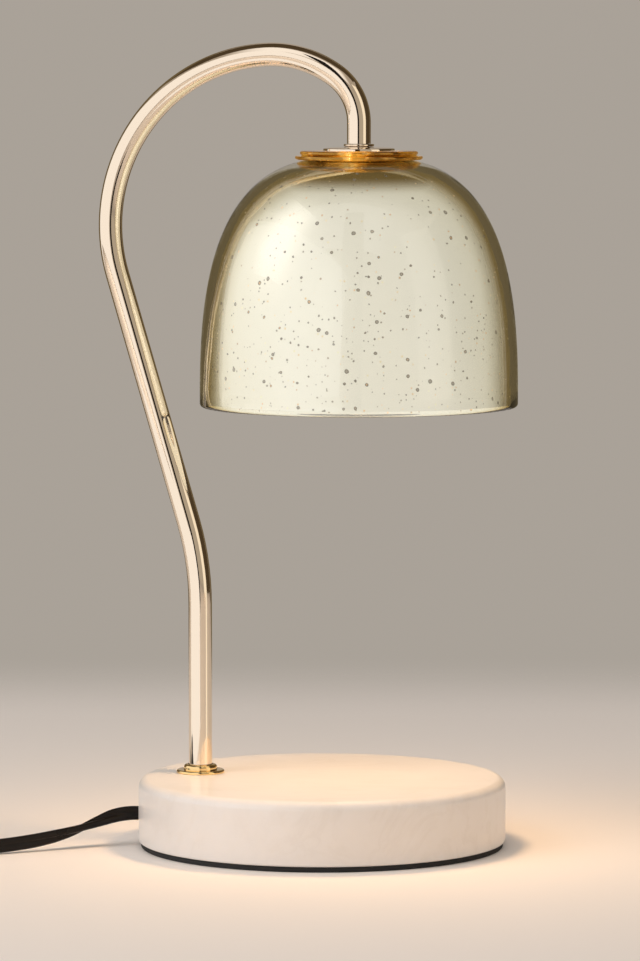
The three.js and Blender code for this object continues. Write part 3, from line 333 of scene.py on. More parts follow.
lead_points = [laid(*p) for p in (
    (-70.7, 0, 12.6), (-76, 0, 12.6), (-82, -2.2, 11.9), (-89, -5.2, 9.7), (-98, -9.8, 6.9),
    (-107, -14.4, 5), (-117, -19.8, 3.8), (-127.7, -25, 3.1), (-140, -31.2, 2.9),
    (-153, -37.4, 2.9), (-167, -43.2, 2.9), (-183, -48, 2.9), (-199, -50.6, 2.9),
    (-214, -50.6, 2.9), (-223.2, -48.8, 3.1), (-231, -43.6, 3.8), (-236.2, -35.8, 5.5),
    (-238, -27, 6.8), (-238, -22.5, 7), (-238, -19.6, 7),
)]
lead_rolls = [0, 0, 30, 75, 125, 160, *[180] * 14]
lead_line = route(lead_points, lead_rolls)
print(f"flex from the foot to the dimmer: {line_length(lead_line):.3f} m")

# %% [markdown]
# The coil is wound by rule, not by hand. It starts on the outside of the lower layer, winds in
# turn by turn, climbs half a turn in the middle and winds out again on the upper layer.

# %% Coil
COIL_CENTRE = (-184, 6)
COIL_RADIUS = 36.6
COIL_PITCH = 3.3
COIL_LOW = 2.9
COIL_RISE = 6.1
COIL_START = 60
COIL_TURNS = 6 + 11 / 12
STEPS_PER_TURN = 48


def coil_point(turns):
    past_middle = turns - COIL_TURNS / 2
    radius = COIL_RADIUS - COIL_PITCH * (COIL_TURNS / 2 - abs(past_middle))
    angle = math.radians(COIL_START) - turns * 2 * math.pi
    climb = min(1, max(0, past_middle * 2 + 0.5))
    return laid(COIL_CENTRE[0] + radius * math.cos(angle),
                COIL_CENTRE[1] + radius * math.sin(angle), COIL_LOW + COIL_RISE * climb)


coil_steps = round(COIL_TURNS * STEPS_PER_TURN)
coil_points = [coil_point(COIL_TURNS * i / coil_steps) for i in range(coil_steps + 1)]
print(f"the coil: {COIL_TURNS:.2f} turns in two layers, {len(coil_points)} points")

# %% [markdown]
# The link comes out of the dimmer, comes down to the floor and swings round into the coil. The
# tail comes down off the upper layer, bends back and rises a little to the plug, which holds it
# off the floor. Both are given point by point, because here the cord is free and a rule would
# look stiff.

# %% Link and tail
link_points = [laid(*p) for p in (
    (-238, 30.4, 7), (-238, 33.4, 7), (-238, 38.2, 6.8), (-236.2, 47.1, 5.5), (-231, 54.9, 3.9),
    (-223.2, 60.1, 3.2), (-214, 61.9, 2.9), (-207.8, 61.1, 2.9), (-202, 58.7, 2.9),
    (-190, 51.8, 2.9),
)]
tail_points = [laid(*p) for p in (
    (-175, 42.8, 9), (-163.5, 45.9, 8.7), (-156.2, 52.6, 7.5), (-152.3, 61.8, 6),
    (-152.8, 71.8, 4.9), (-157.4, 80.6, 4.4), (-165.3, 86.6, 4.8), (-175, 88.8, 5.8),
    (-181, 88.8, 6.1), (-185, 88.8, 6.1),
)]
main_line = [
    *route([*link_points, coil_points[0]])[:-1],
    *((spot, 0.0) for spot in coil_points[:-1]),
    *route([coil_points[-1], *tail_points]),
]
print(f"flex from the dimmer to the plug: {line_length(main_line):.3f} m")

# %% [markdown]
# The flex's section is drawn once as a closed outline. Each lobe is nearly a full circle, so the
# groove between the two conductors catches a line of light, as on the real flex. A flat oval
# would be quicker, but it would look like a ribbon. The same outline, a little larger, later cuts
# the cord's way into the dimmer and the plug.

# %% Flex section
WEB_HALF = 0.85 * MM
LOBE_STEPS = 14


def arc(centre, height, radius, start, end, steps=6):
    """Points of an arc in an outline, from one angle to another, in degrees."""
    angles = [math.radians(start + (end - start) * i / steps) for i in range(steps + 1)]
    return [(centre + radius * math.cos(a), height + radius * math.sin(a)) for a in angles]


def twin_outline(play=0.0):
    """The flex's section, wide side along X, with some play round it."""
    lobe = CORD_THICK / 2 + play
    web = math.degrees(math.asin((WEB_HALF + play) / lobe))
    right = arc((CORD_WIDTH - CORD_THICK) / 2, 0, lobe, web - 180, 180 - web, LOBE_STEPS)
    return [*right, *((-x, -y) for x, y in right)]


section = bpy.data.objects.new("flex_section", bpy.data.curves.new("flex_section", "CURVE"))
bpy.context.collection.objects.link(section)
section.hide_render = True
section_line = section.data.splines.new("POLY")
section_line.points.add(len(twin_outline()) - 1)
for point, (x, y) in zip(section_line.points, twin_outline()):
    point.co = (x, y, 0, 1)
section_line.use_cyclic_u = True
print("flex section:", len(section_line.points), "points")

# %% [markdown]
# The section is swept along each line. A curve does this with a bevel object, and the tilt at
# each of its points rolls the flat cord over. The swept curve becomes a mesh and is closed up.

# %% Sweep
FLEX_SMOOTH_BELOW = math.radians(50)


def flex(name, line):
    """The flat cord along a line of (place, roll) pairs, as a mesh."""
    curve = bpy.data.curves.new(name, "CURVE")
    curve.dimensions = "3D"
    curve.twist_mode = "Z_UP"
    curve.bevel_mode = "OBJECT"
    curve.bevel_object = section
    curve.use_fill_caps = True
    spline = curve.splines.new("POLY")
    spline.points.add(len(line) - 1)
    for point, (spot, roll) in zip(spline.points, line):
        point.co = (*spot, 1)
        point.tilt = roll + math.pi / 2
    piece = bpy.data.objects.new(name, curve)
    bpy.context.collection.objects.link(piece)
    only(piece)
    bpy.ops.object.convert(target="MESH")
    bpy.ops.object.mode_set(mode="EDIT")
    closed_up()
    return smooth(bpy.context.object, FLEX_SMOOTH_BELOW)


# %% [markdown]
# The flex's black skin is soft plastic with a dull shine. A plain black would look cut out, so
# slow waves change its shine and fine pores break it. Three lengths are swept: the one inside the
# foot, the one to the dimmer, and the long one with the coil.

# %% Flex
flex_skin = Finish("black flex")
pores = flex_skin.noise(0.5 * MM, detail=2)
waves = flex_skin.noise(14 * MM)
black_flex = flex_skin.surface(
    Base_Color=flex_skin.mix(waves, (0.006, 0.005, 0.004), (0.013, 0.009, 0.007)),
    Roughness=0.22 + waves * 0.14,
    Normal=flex_skin.bump(pores, 0.02 * MM),
    Specular_IOR_Level=0.2,
)
CORD_EXIT = 12.6                  # the cord's height where it leaves the foot
foot_line = [(laid(x, 0, CORD_EXIT), 0.0) for x in (-55.5, -63, -70.4)]
lead = dress(flex("flex_to_dimmer", lead_line), black_flex, replaces=["cord_lead"])
main = dress(flex("flex_to_plug", main_line), black_flex,
             replaces=["cord_link", "cord_coil", "cord_tail"])
dress(flex("flex_in_foot", foot_line), black_flex, replaces=["inner_cord"])

# %% [markdown]
# The lamp stands on a plain pale floor. In a studio that is a long sheet of paper, which curves
# up behind. A curved sheet would work here too, but it would hold back the light from behind. So
# the floor is flat, and its paper turns clear towards the back, where it fades into the
# background along a soft line. Far out it fades all round, so that no view shows where it ends.

# %% Floor
FLOOR = (0.86, 0.80, 0.755)
FLOOR_RADIUS = 4.0
FLOOR_FADE = (0.40, 0.66)
FLOOR_GAP = 0.05 * MM             # the floor lies just under what stands on it
FLOOR_SIDES = 96

bpy.ops.mesh.primitive_circle_add(vertices=FLOOR_SIDES, radius=FLOOR_RADIUS, fill_type="NGON",
                                  location=(0, 0, -FLOOR_GAP))
floor = settled("floor")
ground = Finish("pale floor")
to_the_back = {0: ground.place(), 1: around @ Vector((0, 1, 0))}
away = ground.node("VectorMath", to_the_back, out="Value", operation="DOT_PRODUCT")
far_out = ground.node("VectorMath", {0: ground.place()}, out="Value", operation="LENGTH")
fade = (ground.spread(away, *FLOOR_FADE, kind="SMOOTHSTEP")
        | ground.spread(far_out, FLOOR_RADIUS / 2, FLOOR_RADIUS, kind="SMOOTHSTEP"))
paper = ground.node("BsdfDiffuse", {"Color": (*FLOOR, 1)})
clear = ground.node("BsdfTransparent")
fading_paper = ground.node("MixShader", {0: fade, 1: paper, 2: clear})
floor.data.materials.append(ground.finished(fading_paper))
print("floor:", FLOOR, "fades out from", FLOOR_FADE, "m behind the lamp")

# %% [markdown]
# The background and the light from all round both belong to the world. A camera, a mirror and
# glass see the plain backdrop. Everything else is lit by a pale even fill, so that no side of the
# lamp falls into the dark.

# %% Background
BACKDROP = (0.40, 0.36, 0.315)
FILL = (1.0, 0.96, 0.91)
FILL_STRENGTH = 0.36

world = bpy.data.worlds.new("studio")
bpy.context.scene.world = world
sky = Finish("studio", world)
seen = sky.node("LightPath", out="Is Camera Ray")
mirrored = sky.node("LightPath", out="Is Glossy Ray")
looked_through = sky.node("LightPath", out="Is Transmission Ray")
fill = sky.node("Background", {"Color": (*FILL, 1), "Strength": FILL_STRENGTH})
backdrop = sky.node("Background", {"Color": (*BACKDROP, 1)})
both = sky.node("MixShader", {0: seen | mirrored | looked_through, 1: fill, 2: backdrop})
sky.finished(both, "World")
print("background:", BACKDROP, "fill light:", FILL_STRENGTH)

# %% [markdown]
# Light and reflections are made apart here. Soft lamps on both sides and above give the shape
# its shading, and stay out of the reflections. Polished metal and silvered glass show nothing but
# what stands round them, so a photographer puts up cards as well: white ones for long highlights,
# a narrow black one for a dark line along a tube, and dark ones at the sides and behind, just out
# of the picture, which draw the edges of the glass.

# %% Lamps
LAMP_MIDDLE = Vector((0, 0, 0.16))
DAYLIGHT = (1, 0.965, 0.935)
EVENING_LIGHT = (1, 0.80, 0.58)


def spot_at(azimuth, away, height):
    """A place in the studio. The azimuth is taken from the camera, positive to the right."""
    turn = Matrix.Rotation(VIEW_TURN + math.radians(azimuth), 3, "Z")
    return turn @ Vector((0, -away, 0)) + Vector((0, 0, height))


def facing(spot):
    return (LAMP_MIDDLE - spot).to_track_quat("-Z", "Y").to_euler()


def area_light(name, spot, shape, size, power, color):
    """A flat light that lights the scene, but that no camera, mirror or glass sees."""
    light = bpy.data.lights.new(name, "AREA")
    light.shape = shape
    light.size, light.size_y = size
    light.energy = power
    light.color = color
    lamp = bpy.data.objects.new(name, light)
    lamp.location = spot
    lamp.visible_camera = lamp.visible_glossy = lamp.visible_transmission = False
    bpy.context.collection.objects.link(lamp)
    return lamp


for name, (azimuth, away, height), size, power, color in (
    ("left_box", (-58, 1.4, 0.85), (1.0, 1.3), 12, DAYLIGHT),
    ("right_box", (55, 1.5, 0.6), (0.5, 1.2), 3, EVENING_LIGHT),
    ("top_box", (0, 0.3, 1.6), (1.3, 1.1), 4, DAYLIGHT),
):
    spot = spot_at(azimuth, away, height)
    soft_box = area_light(name, spot, "RECTANGLE", size, power, color)
    soft_box.rotation_euler = facing(spot)
print("the soft boxes face", [round(v, 2) for v in LAMP_MIDDLE])

# %% [markdown]
# Each card is a plane that glows with its own colour. Mirrors see some cards, the silvering
# behind the glass sees others, and nothing is lit by them. So a reflection can be moved about
# without changing the light on the lamp. The two tall side cards draw the long white band and
# the gold band on the arm, and the narrow black one parts them.

# %% Cards
WHITE_CARD = (1.0, 0.99, 1.0)
WARM_CARD = (1.0, 0.93, 0.80)
BRIGHT_CARD = (2.2, 2.2, 2.3)
FRONT_CARD = (0.44, 0.40, 0.34)
OLIVE_CARD = (0.145, 0.112, 0.060)
DARK_CARD = (0.070, 0.050, 0.028)
BLACK_CARD = (0.012, 0.010, 0.009)


def card(name, spot, size, color, soft, mirrors=True, silvering=True):
    """A card for mirrors, and for silvering behind glass. Its two sides fade out softly."""
    bpy.ops.mesh.primitive_plane_add(size=1, location=spot, rotation=facing(spot))
    bpy.context.object.scale = (*size, 1)
    sheet = settled(name)
    finish = Finish(name)
    across = finish.node("SeparateXYZ", {0: finish.node("TexCoord", out="UV")})
    from_middle = finish.node("Math", {0: across - 0.5}, operation="ABSOLUTE")
    shown = finish.spread(from_middle, 0.5, 0.5 - soft, kind="SMOOTHSTEP")
    clear = finish.node("BsdfTransparent")
    glow = finish.node("Emission", {"Color": (*color, 1)})
    faded = finish.node("MixShader", {0: shown, 1: clear, 2: glow})
    sheet.data.materials.append(finish.finished(faded))
    sheet.visible_camera = sheet.visible_diffuse = sheet.visible_shadow = False
    sheet.visible_glossy = mirrors
    sheet.visible_transmission = silvering


no_mirrors = {"mirrors": False}
no_silvering = {"silvering": False}
cards = (                         # name, place, width and height, colour, soft share, unseen by
    ("left_card", (-67, 1.7, 0.5), (4.8, 2.1), WHITE_CARD, 0.01, {}),
    ("front_card", (18, 2.9, 0.5), (2.4, 2.1), FRONT_CARD, 0.2, {}),
    ("right_side_card", (100, 1.6, 0.5), (1.9, 2.1), DARK_CARD, 0.02, {}),
    ("right_back_card", (150, 1.6, 0.5), (1.15, 2.1), OLIVE_CARD, 0.02, {}),
    ("left_back_card", (-146, 1.6, 0.5), (1.35, 2.1), OLIVE_CARD, 0.02, {}),
    ("right_card", (56, 1.6, 0.5), (0.9, 2.0), WARM_CARD, 0.12, no_silvering),
    ("gap_card", (-4, 0.7, 0.5), (0.2, 1.2), BLACK_CARD, 0.02, no_silvering),
    ("left_low_card", (-56, 0.25, 0.065), (0.5, 0.13), WHITE_CARD, 0.02, {}),
    ("right_low_card", (62, 0.25, 0.065), (0.075, 0.13), WARM_CARD, 0.02, {}),
    ("high_left_card", (-80, 1.2, 1.15), (1.3, 1.1), BRIGHT_CARD, 0.4, no_mirrors),
    ("top_front_card", (-12, 1.1, 1.75), (2.4, 1.2), WHITE_CARD, 0.25, no_silvering),
    ("ceiling_card", (180, 0.5, 2.1), (4.0, 1.9), DARK_CARD, 0.02, {}),
)
for name, place, size, color, soft, unseen in cards:
    card(name, spot_at(*place), size, color, soft, **unseen)
print(len(cards), "cards stand round the lamp")

# %% [markdown]
# Most of the lamp is round: foot, collar, bell and bulb are turned pieces. On a lathe the outline
# is all there is to decide. The lathe here starts as one corner, which is extruded along half of
# the outline, and the outline is then spun round the upright axis.


# %% Lathe
def chain(outline, upright=True):
    """A row of edges through an outline's points, drawn corner by corner."""
    spots = [Vector((x, 0, y) if upright else (x, y, 0)) for x, y in outline]
    bpy.ops.object.select_all(action="DESELECT")
    bpy.ops.mesh.primitive_plane_add(size=MM, location=spots[0])
    bpy.ops.object.transform_apply(location=True)
    bpy.ops.object.mode_set(mode="EDIT")
    bpy.ops.mesh.select_mode(type="VERT")
    bpy.ops.mesh.merge(type="CENTER")
    for here, there in zip(spots, spots[1:]):
        bpy.ops.mesh.extrude_region_move(TRANSFORM_OT_translate={"value": there - here})
    bpy.ops.mesh.select_all(action="SELECT")


def turned(name, outline, sides=96, centre=(0, 0)):
    """A piece turned on the lathe: outline holds (radius, height) pairs in metres."""
    chain(outline)
    bpy.ops.mesh.spin(steps=sides, angle=2 * math.pi, center=(0, 0, 0), axis=(0, 0, 1))
    closed_up()
    bpy.context.object.location = (*centre, 0)
    return smooth(settled(name))


def rounded(radius, height, fillet, start, end, steps=5):
    """A rounded corner whose outside faces are at a radius and a height."""
    side = math.copysign(fillet, math.cos(math.radians((start + end) / 2)))
    level = math.copysign(fillet, math.sin(math.radians((start + end) / 2)))
    return arc(radius - side, height - level, fillet, start, end, steps)


ROD_SIDES = 48


def rod(radius, low, high, x=0.0, sides=ROD_SIDES):
    """An upright round bar, as a tool."""
    bpy.ops.mesh.primitive_cylinder_add(vertices=sides, radius=radius, depth=high - low,
                                        location=(x, 0, (low + high) / 2))
    return settled()


# %% [markdown]
# The foot is a thick disc of white marble with a rounded top edge. Underneath, a hollow takes the
# wiring, and holes lead to the arm and to the cord. The edges could be bevelled on a cylinder,
# but the turned outline has them from the start. The holes are drilled afterwards, by taking rods
# out of it.

# %% Foot
foot_low, foot_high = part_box("marble_base")
ARM_X = -50 * MM
HOLLOW_X, HOLLOW_RADIUS, HOLLOW_TOP = -45 * MM, 21 * MM, 18.1 * MM
NIPPLE_HOLE = 3.95 * MM
CORD_HOLE = 3.9 * MM
BEYOND = 5 * MM                   # how far a tool reaches past the piece it cuts
FOOT_TOP_EDGE, FOOT_BOTTOM_EDGE = 3.8 * MM, 0.8 * MM
FOOT_SIDES = 160
CORD_HOLE_X = -62                 # the middle of the drill for the cord's hole
CORD_DRILL = 30 * MM

disc = turned("marble_foot", [
    (0, foot_low.z),
    *rounded(foot_high.x, foot_low.z, FOOT_BOTTOM_EDGE, -90, 0),
    *rounded(foot_high.x, foot_high.z, FOOT_TOP_EDGE, 0, 90, 12),
    (0, foot_high.z),
], FOOT_SIDES)
hollow = rod(HOLLOW_RADIUS, -BEYOND, HOLLOW_TOP, HOLLOW_X, 72)
stem_hole = rod(NIPPLE_HOLE, 0, foot_high.z + BEYOND, ARM_X)
bpy.ops.mesh.primitive_cylinder_add(vertices=32, radius=CORD_HOLE, depth=CORD_DRILL,
                                    location=laid(CORD_HOLE_X, 0, CORD_EXIT),
                                    rotation=(0, math.pi / 2, VIEW_TURN))
disc = smooth(cut(disc, settled(), hollow, stem_hole))

# %% [markdown]
# This marble is white with pale clouds and a few faint warm veins, polished to a soft shine. The
# veins could be drawn as curves on the stone, but then they would stop at its edges. A noise in
# three dimensions runs through the stone as real veins do, and a vein shows where it crosses its
# middle value. A thin coat stands for the polish.

# %% Marble
stone = Finish("white marble")
clouds = stone.noise(55 * MM, detail=6, roughness=0.6)
grain = stone.place(turn=(0.3, 0.2, 0.7), stretch=(1, 2.2, 1))
streaks = stone.noise(60 * MM, detail=9, roughness=0.62, place=grain, distortion=1.4)
vein = 1 - stone.spread(stone.node("Math", {0: streaks - 0.5}, operation="ABSOLUTE"), 0, 0.045)
crystals = stone.noise(0.9 * MM, detail=2)
chalk = stone.mix(stone.spread(clouds, 0.3, 0.75), (0.87, 0.825, 0.795), (0.81, 0.76, 0.72))
vein_share = vein * stone.spread(clouds, 0.35, 0.8) * 0.2
marble = stone.surface(
    Base_Color=stone.mix(vein_share, chalk, (0.60, 0.52, 0.44)),
    Roughness=0.28 + crystals * 0.14,
    Normal=stone.bump(crystals, 0.01 * MM),
    Coat_Weight=0.2,
    Coat_Roughness=0.12,
)
dress(disc, marble, replaces=["marble_base"])

# %% [markdown]
# A black rubber sheet under the stone keeps it from sliding and scratching. It is a little
# smaller than the stone, so it draws a thin dark line on the floor. A flat cylinder would show
# the same line, but a cut sheet has soft edges, and those cost only two small arcs in an outline.

# %% Pad
pad_low, pad_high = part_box("base_pad")
PAD_EDGE = 0.3 * MM
sheet = turned("foot_pad", [
    (0, pad_low.z),
    *rounded(pad_high.x, pad_low.z, PAD_EDGE, -90, 0, 3),
    *rounded(pad_high.x, pad_high.z, PAD_EDGE, 0, 90, 3),
    (0, pad_high.z),
], FOOT_SIDES)
sponge = Finish("black rubber sheet")
cells = sponge.noise(0.35 * MM, detail=2)
rubber = sponge.surface(
    Base_Color=sponge.mix(cells, (0.009, 0.009, 0.009), (0.020, 0.019, 0.018)),
    Roughness=0.75 + cells * 0.2,
    Normal=sponge.bump(cells, 0.05 * MM),
)
dress(sheet, rubber, replaces=["base_pad"])

# %% [markdown]
# The arm is one length of steel tube, bent by hand over round blocks and then plated a pale
# gold. A curve with a round bevel would give its shape too, but with no true bends in it. So the
# model is made as the arm is: a circle is extruded straight up, and each bend is a spin about the
# bend's own centre. The wall gets its thickness last, so that the tube is open where the nipples
# go in.

# %% Arm
TUBE_RADIUS = 4.67 * MM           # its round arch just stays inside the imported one's flats
TUBE_WALL = 0.72 * MM
TUBE_SIDES = 40
STEM_RISE = 67.2 * MM
LEAN_RUN = 102 * MM
DROP_RUN = 8 * MM
BENDS = (                         # radius, and angle in degrees: a positive one leans back
    (114 * MM, 16.6), (67.6 * MM, -103.6), (44.4 * MM, -38.3), (22.7 * MM, -54.7),
)
BEND_STEP = 2.5
foot_of_arm = Vector((ARM_X, 0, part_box("arm_tube")[0].z))


def straight(place, heading, distance):
    """Extrudes the open end by a distance and tells where it has come to."""
    step = Vector((math.cos(heading), 0, math.sin(heading))) * distance
    bpy.ops.mesh.extrude_region_move(TRANSFORM_OT_translate={"value": step})
    return place + step


def bent_tube():
    bpy.ops.mesh.primitive_circle_add(vertices=TUBE_SIDES, radius=TUBE_RADIUS,
                                      location=foot_of_arm)
    bpy.ops.object.transform_apply(location=True)
    bpy.ops.object.mode_set(mode="EDIT")
    heading = math.pi / 2
    place = straight(foot_of_arm, heading, STEM_RISE)
    for radius, degrees in BENDS:
        turn = math.radians(degrees)
        sideways = Vector((-math.sin(heading), 0, math.cos(heading)))
        towards = sideways * math.copysign(radius, turn)
        centre = place + towards
        bpy.ops.mesh.spin(steps=math.ceil(abs(degrees) / BEND_STEP), angle=turn, center=centre,
                          axis=(0, 1, 0))
        place = centre - Matrix.Rotation(-turn, 3, "Y") @ towards
        heading += turn
        if degrees > 0:
            place = straight(place, heading, LEAN_RUN)
    place = straight(place, heading, DROP_RUN)
    closed_up()
    print("the arm ends at", [round(v / MM, 2) for v in place])
    tube = settled("bent_arm")
    modify(tube, "SOLIDIFY", thickness=TUBE_WALL, offset=-1)
    return smooth(tube)


# %% [markdown]
# Polished plating is nearly all reflection: its colour is that of the metal, and its shape is
# told by the cards that it mirrors. A perfect mirror would look like a drawing. So the metal
# drifts a little in colour and in shine, and a bump too slow to see bends the reflections softly.

# %% Plating
plating = Finish("polished pale gold")
drift = plating.noise(35 * MM)
pale_gold = plating.surface(
    Base_Color=plating.mix(drift, (0.96, 0.82, 0.66), (0.94, 0.79, 0.61)),
    Metallic=1.0,
    Roughness=0.045 + drift * 0.02,
    Normal=plating.bump(drift, 0.04 * MM),
)
dress(bent_tube(), pale_gold, replaces=["arm_tube"])

# %% [markdown]
# A stepped flange hides the hole where the arm stands in the stone. It is turned from brass and
# plated. Its colour is a little yellower than the arm's: a painted reflection of the warm light
# that it mirrors. Two cylinders on each other would have hard steps, so it comes from the lathe,
# with a round edge at each step to catch the light.

# %% Flange
FLANGE_BORE = TUBE_RADIUS + 0.3 * MM
FLANGE_STEP = 6.6 * MM
FLANGE_PLATE = 1.2 * MM
FLANGE_EDGE, FLANGE_STEP_EDGE = 0.7 * MM, 1.3 * MM
flange_low, flange_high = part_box("arm_flange")
flange_radius = flange_high.y
step_top = flange_low.z + FLANGE_PLATE
flange = turned("arm_rose", [
    (FLANGE_BORE, flange_low.z),
    (flange_radius, flange_low.z),
    *rounded(flange_radius, step_top, FLANGE_EDGE, 0, 90),
    (FLANGE_STEP, step_top),
    *rounded(FLANGE_STEP, flange_high.z, FLANGE_STEP_EDGE, 0, 90, 8),
    (FLANGE_BORE, flange_high.z),
    (FLANGE_BORE, flange_low.z),
], 72, (ARM_X, 0))
polish = Finish("polished gold")
ripples = polish.noise(9 * MM)
painted_warm_gold = polish.surface(
    # the yellower tone is painted reflection of warm light, not a different plating
    Base_Color=polish.mix(ripples, (0.98, 0.72, 0.36), (0.96, 0.66, 0.29)),
    Metallic=1.0,
    Roughness=0.08 + ripples * 0.04,
    Normal=polish.bump(ripples, 0.03 * MM),
)
dress(flange, painted_warm_gold, replaces=["arm_flange"])

# %% [markdown]
# Where the arm comes down on the shade, a small ring and a shallow domed washer finish it. The
# ring is a bead with a hole. The washer's dome is a quarter of an ellipse, which is made from a
# plain arc, stretched to the width between the ring and the washer's edge.

# %% Ring and canopy
CANOPY_EDGE = 0.6 * MM
ring_low, ring_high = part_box("tube_ring")
canopy_low, canopy_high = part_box("canopy_washer")
CROWN_X = (ring_low.x + ring_high.x) / 2
on_crown = (CROWN_X, 0)

ring_edge = (ring_high.z - ring_low.z) / 2
ring = turned("arm_end_ring", [
    (NIPPLE_HOLE, ring_low.z),
    *arc(ring_high.y - ring_edge, ring_low.z + ring_edge, ring_edge, -90, 90, 8),
    (NIPPLE_HOLE, ring_high.z),
    (NIPPLE_HOLE, ring_low.z),
], 64, on_crown)
dress(ring, pale_gold, replaces=["tube_ring"])

dome_low = canopy_low.z + CANOPY_EDGE
dome_width = canopy_high.y - ring_high.y
dome_height = canopy_high.z - dome_low
dome = [(ring_high.y + dome_width * x, dome_low + dome_height * y)
        for x, y in arc(0, 0, 1, 0, 90, 10)]
canopy = turned("canopy", [
    (NIPPLE_HOLE, canopy_low.z),
    (canopy_high.y, canopy_low.z),
    *dome,
    (NIPPLE_HOLE, canopy_high.z),
    (NIPPLE_HOLE, canopy_low.z),
], 80, on_crown)
dress(canopy, pale_gold, replaces=["canopy_washer"])

# %% [markdown]
# The collar is two thin discs of amber glass in one, the upper a little narrower, with a groove
# between their beaded edges. Two stacked discs would show a false surface between them through
# the glass, so one outline takes in both.

# %% Collar
COLLAR_STEP = 1.9 * MM
GROOVE = 0.7 * MM
TURNED_SIDES = 128
collar_low, collar_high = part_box("glass_collar")
bead = (collar_high.z - collar_low.z) / 4
upper_radius = collar_high.y - COLLAR_STEP
collar = turned("amber_collar", [
    (NIPPLE_HOLE, collar_low.z),
    *arc(collar_high.y - bead, collar_low.z + bead, bead, -90, 40, 8),
    (upper_radius - GROOVE, collar_low.z + 2 * bead),
    *arc(upper_radius - bead, collar_high.z - bead, bead, -40, 90, 8),
    (NIPPLE_HOLE, collar_high.z),
    (NIPPLE_HOLE, collar_low.z),
], TURNED_SIDES, on_crown)

# %% [markdown]
# The collar is true glass here: light bends through it, so the edges gather dark and bright lines
# by themselves. Its colour runs in streaks from honey to brown, and the brown ones have a slight
# metal lustre. The bulb's warm light comes up through the middle. A strong lamp there would need
# a long render to look clean, so the glass glows a little by itself instead.

# %% Amber glass
amber = Finish("amber glass")
streaky = amber.noise(11 * MM, detail=1, distortion=0.5)
swirls = amber.spread(streaky, 0.38, 0.62, kind="SMOOTHSTEP")
honey = amber.node("ValToRGB", {0: swirls}, stops=(
    (0.0, (1.0, 0.90, 0.52)), (0.35, (1.0, 0.76, 0.26)), (0.65, (1.0, 0.58, 0.11)),
    (0.9, (0.40, 0.22, 0.04))))
slant = amber.node("LayerWeight", {"Blend": 0.5}, out="Facing")
from_axis = {0: amber.place(centre=(CROWN_X, 0, 0)), 1: (1, 1, 0)}
flat = amber.node("VectorMath", from_axis, operation="MULTIPLY")
outwards = amber.node("VectorMath", {0: flat}, out="Value", operation="LENGTH")
# Painted light: the middle glows as if the bulb shone up through it, and the outer rim glows a
# little, as if light caught in the glass left there.
glow_middle = amber.spread(outwards, 20 * MM, 7 * MM) * (1 - swirls * 0.6)
glow_rim = amber.spread(outwards, 20.5 * MM, 24 * MM) * (1 - swirls) * 0.3
amber_glass = amber.surface(
    Base_Color=amber.mix(slant * 0.6, honey, (1.0, 0.60, 0.12)),
    Metallic=swirls * 0.6,
    Normal=amber.bump(swirls, 0.2 * MM),
    Roughness=0.0,
    IOR=1.5,
    Transmission_Weight=1.0,
    Emission_Color=amber.mix(glow_middle | glow_rim, (0.0, 0.0, 0.0), (0.42, 0.21, 0.03)),
    Emission_Strength=1.0,
)
dress(collar, amber_glass, replaces=["glass_collar"])

# %% [markdown]
# The shade is blown as a bell and silvered on the inside. One mirror surface would do for a small
# picture, but it would lose the clear edge and the lines that the glass draws along it. So it is
# built as it is, a thick glass bell with a thin silver lining that stops just above the rim. Its
# outline is a superellipse, fuller than a circle: the wall stays nearly straight above the rim
# and turns in quickly at the shoulder.

# %% Bell
SHADE_WALL = 3 * MM
CROWN_RADIUS = 21 * MM
WIDTH_POWER = 3
HEIGHT_POWER = 2.65
BELL_STEPS = 44
shade_low, shade_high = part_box("shade")
SHADE_RADIUS = shade_high.y
LIP = SHADE_WALL / 2


def bell(inset):
    """Half the bell's outline, from above the rim to the edge of its flat crown."""
    radius = SHADE_RADIUS - inset
    bottom = shade_low.z + LIP
    end = math.acos(((CROWN_RADIUS - inset / 2) / radius) ** (WIDTH_POWER / 2))
    full = (shade_high.z - inset - bottom) / math.sin(end) ** (2 / HEIGHT_POWER)
    angles = [end * i / BELL_STEPS for i in range(BELL_STEPS + 1)]
    return [(radius * math.cos(a) ** (2 / WIDTH_POWER),
             bottom + full * math.sin(a) ** (2 / HEIGHT_POWER)) for a in angles]


glass = turned("shade_glass", [
    *bell(0),
    (NIPPLE_HOLE, shade_high.z),
    (NIPPLE_HOLE, shade_high.z - SHADE_WALL),
    *reversed(bell(SHADE_WALL)),
    *arc(SHADE_RADIUS - LIP, shade_low.z + LIP, LIP, 180, 360, 8)[1:],
], TURNED_SIDES, on_crown)

# %% [markdown]
# The glass is clear with a champagne tint. At a slant, light crosses more of it, so it turns
# olive there. Colour that grows with the depth of the glass would do this by itself, but it is
# lost when finishes are baked. So the tint follows the angle at which the glass is seen.

# %% Champagne glass
tint = Finish("champagne glass")
swirl = tint.noise(30 * MM)
grazing = tint.spread(tint.node("LayerWeight", {"Blend": 0.5}, out="Facing"), 0.4, 0.95)
champagne = tint.surface(
    Base_Color=tint.mix(grazing, tint.mix(swirl, (0.995, 0.985, 0.94), (0.985, 0.97, 0.91)),
                        (0.42, 0.35, 0.11)),
    Normal=tint.bump(swirl, 0.15 * MM),
    Roughness=0.0,
    IOR=1.48,
    Specular_IOR_Level=0.25,
    Transmission_Weight=1.0,
)
dress(glass, champagne, replaces=["shade"])

# %% [markdown]
# The silvering is a thin skin on the inside of the glass. It stops short of the rim, where bare
# glass shows, and at the gasket in the crown. The bell's own outline gives it its shape, moved in
# by the thickness of the glass and a gap that keeps the two surfaces apart.

# %% Silver lining
SILVER = 0.2 * MM
SILVER_GAP = 0.05 * MM
SILVER_LIFT = 0.6 * MM            # bare glass above the rim
GASKET_PLAY = 0.2 * MM
silver_edge = shade_low.z + LIP + SILVER_LIFT


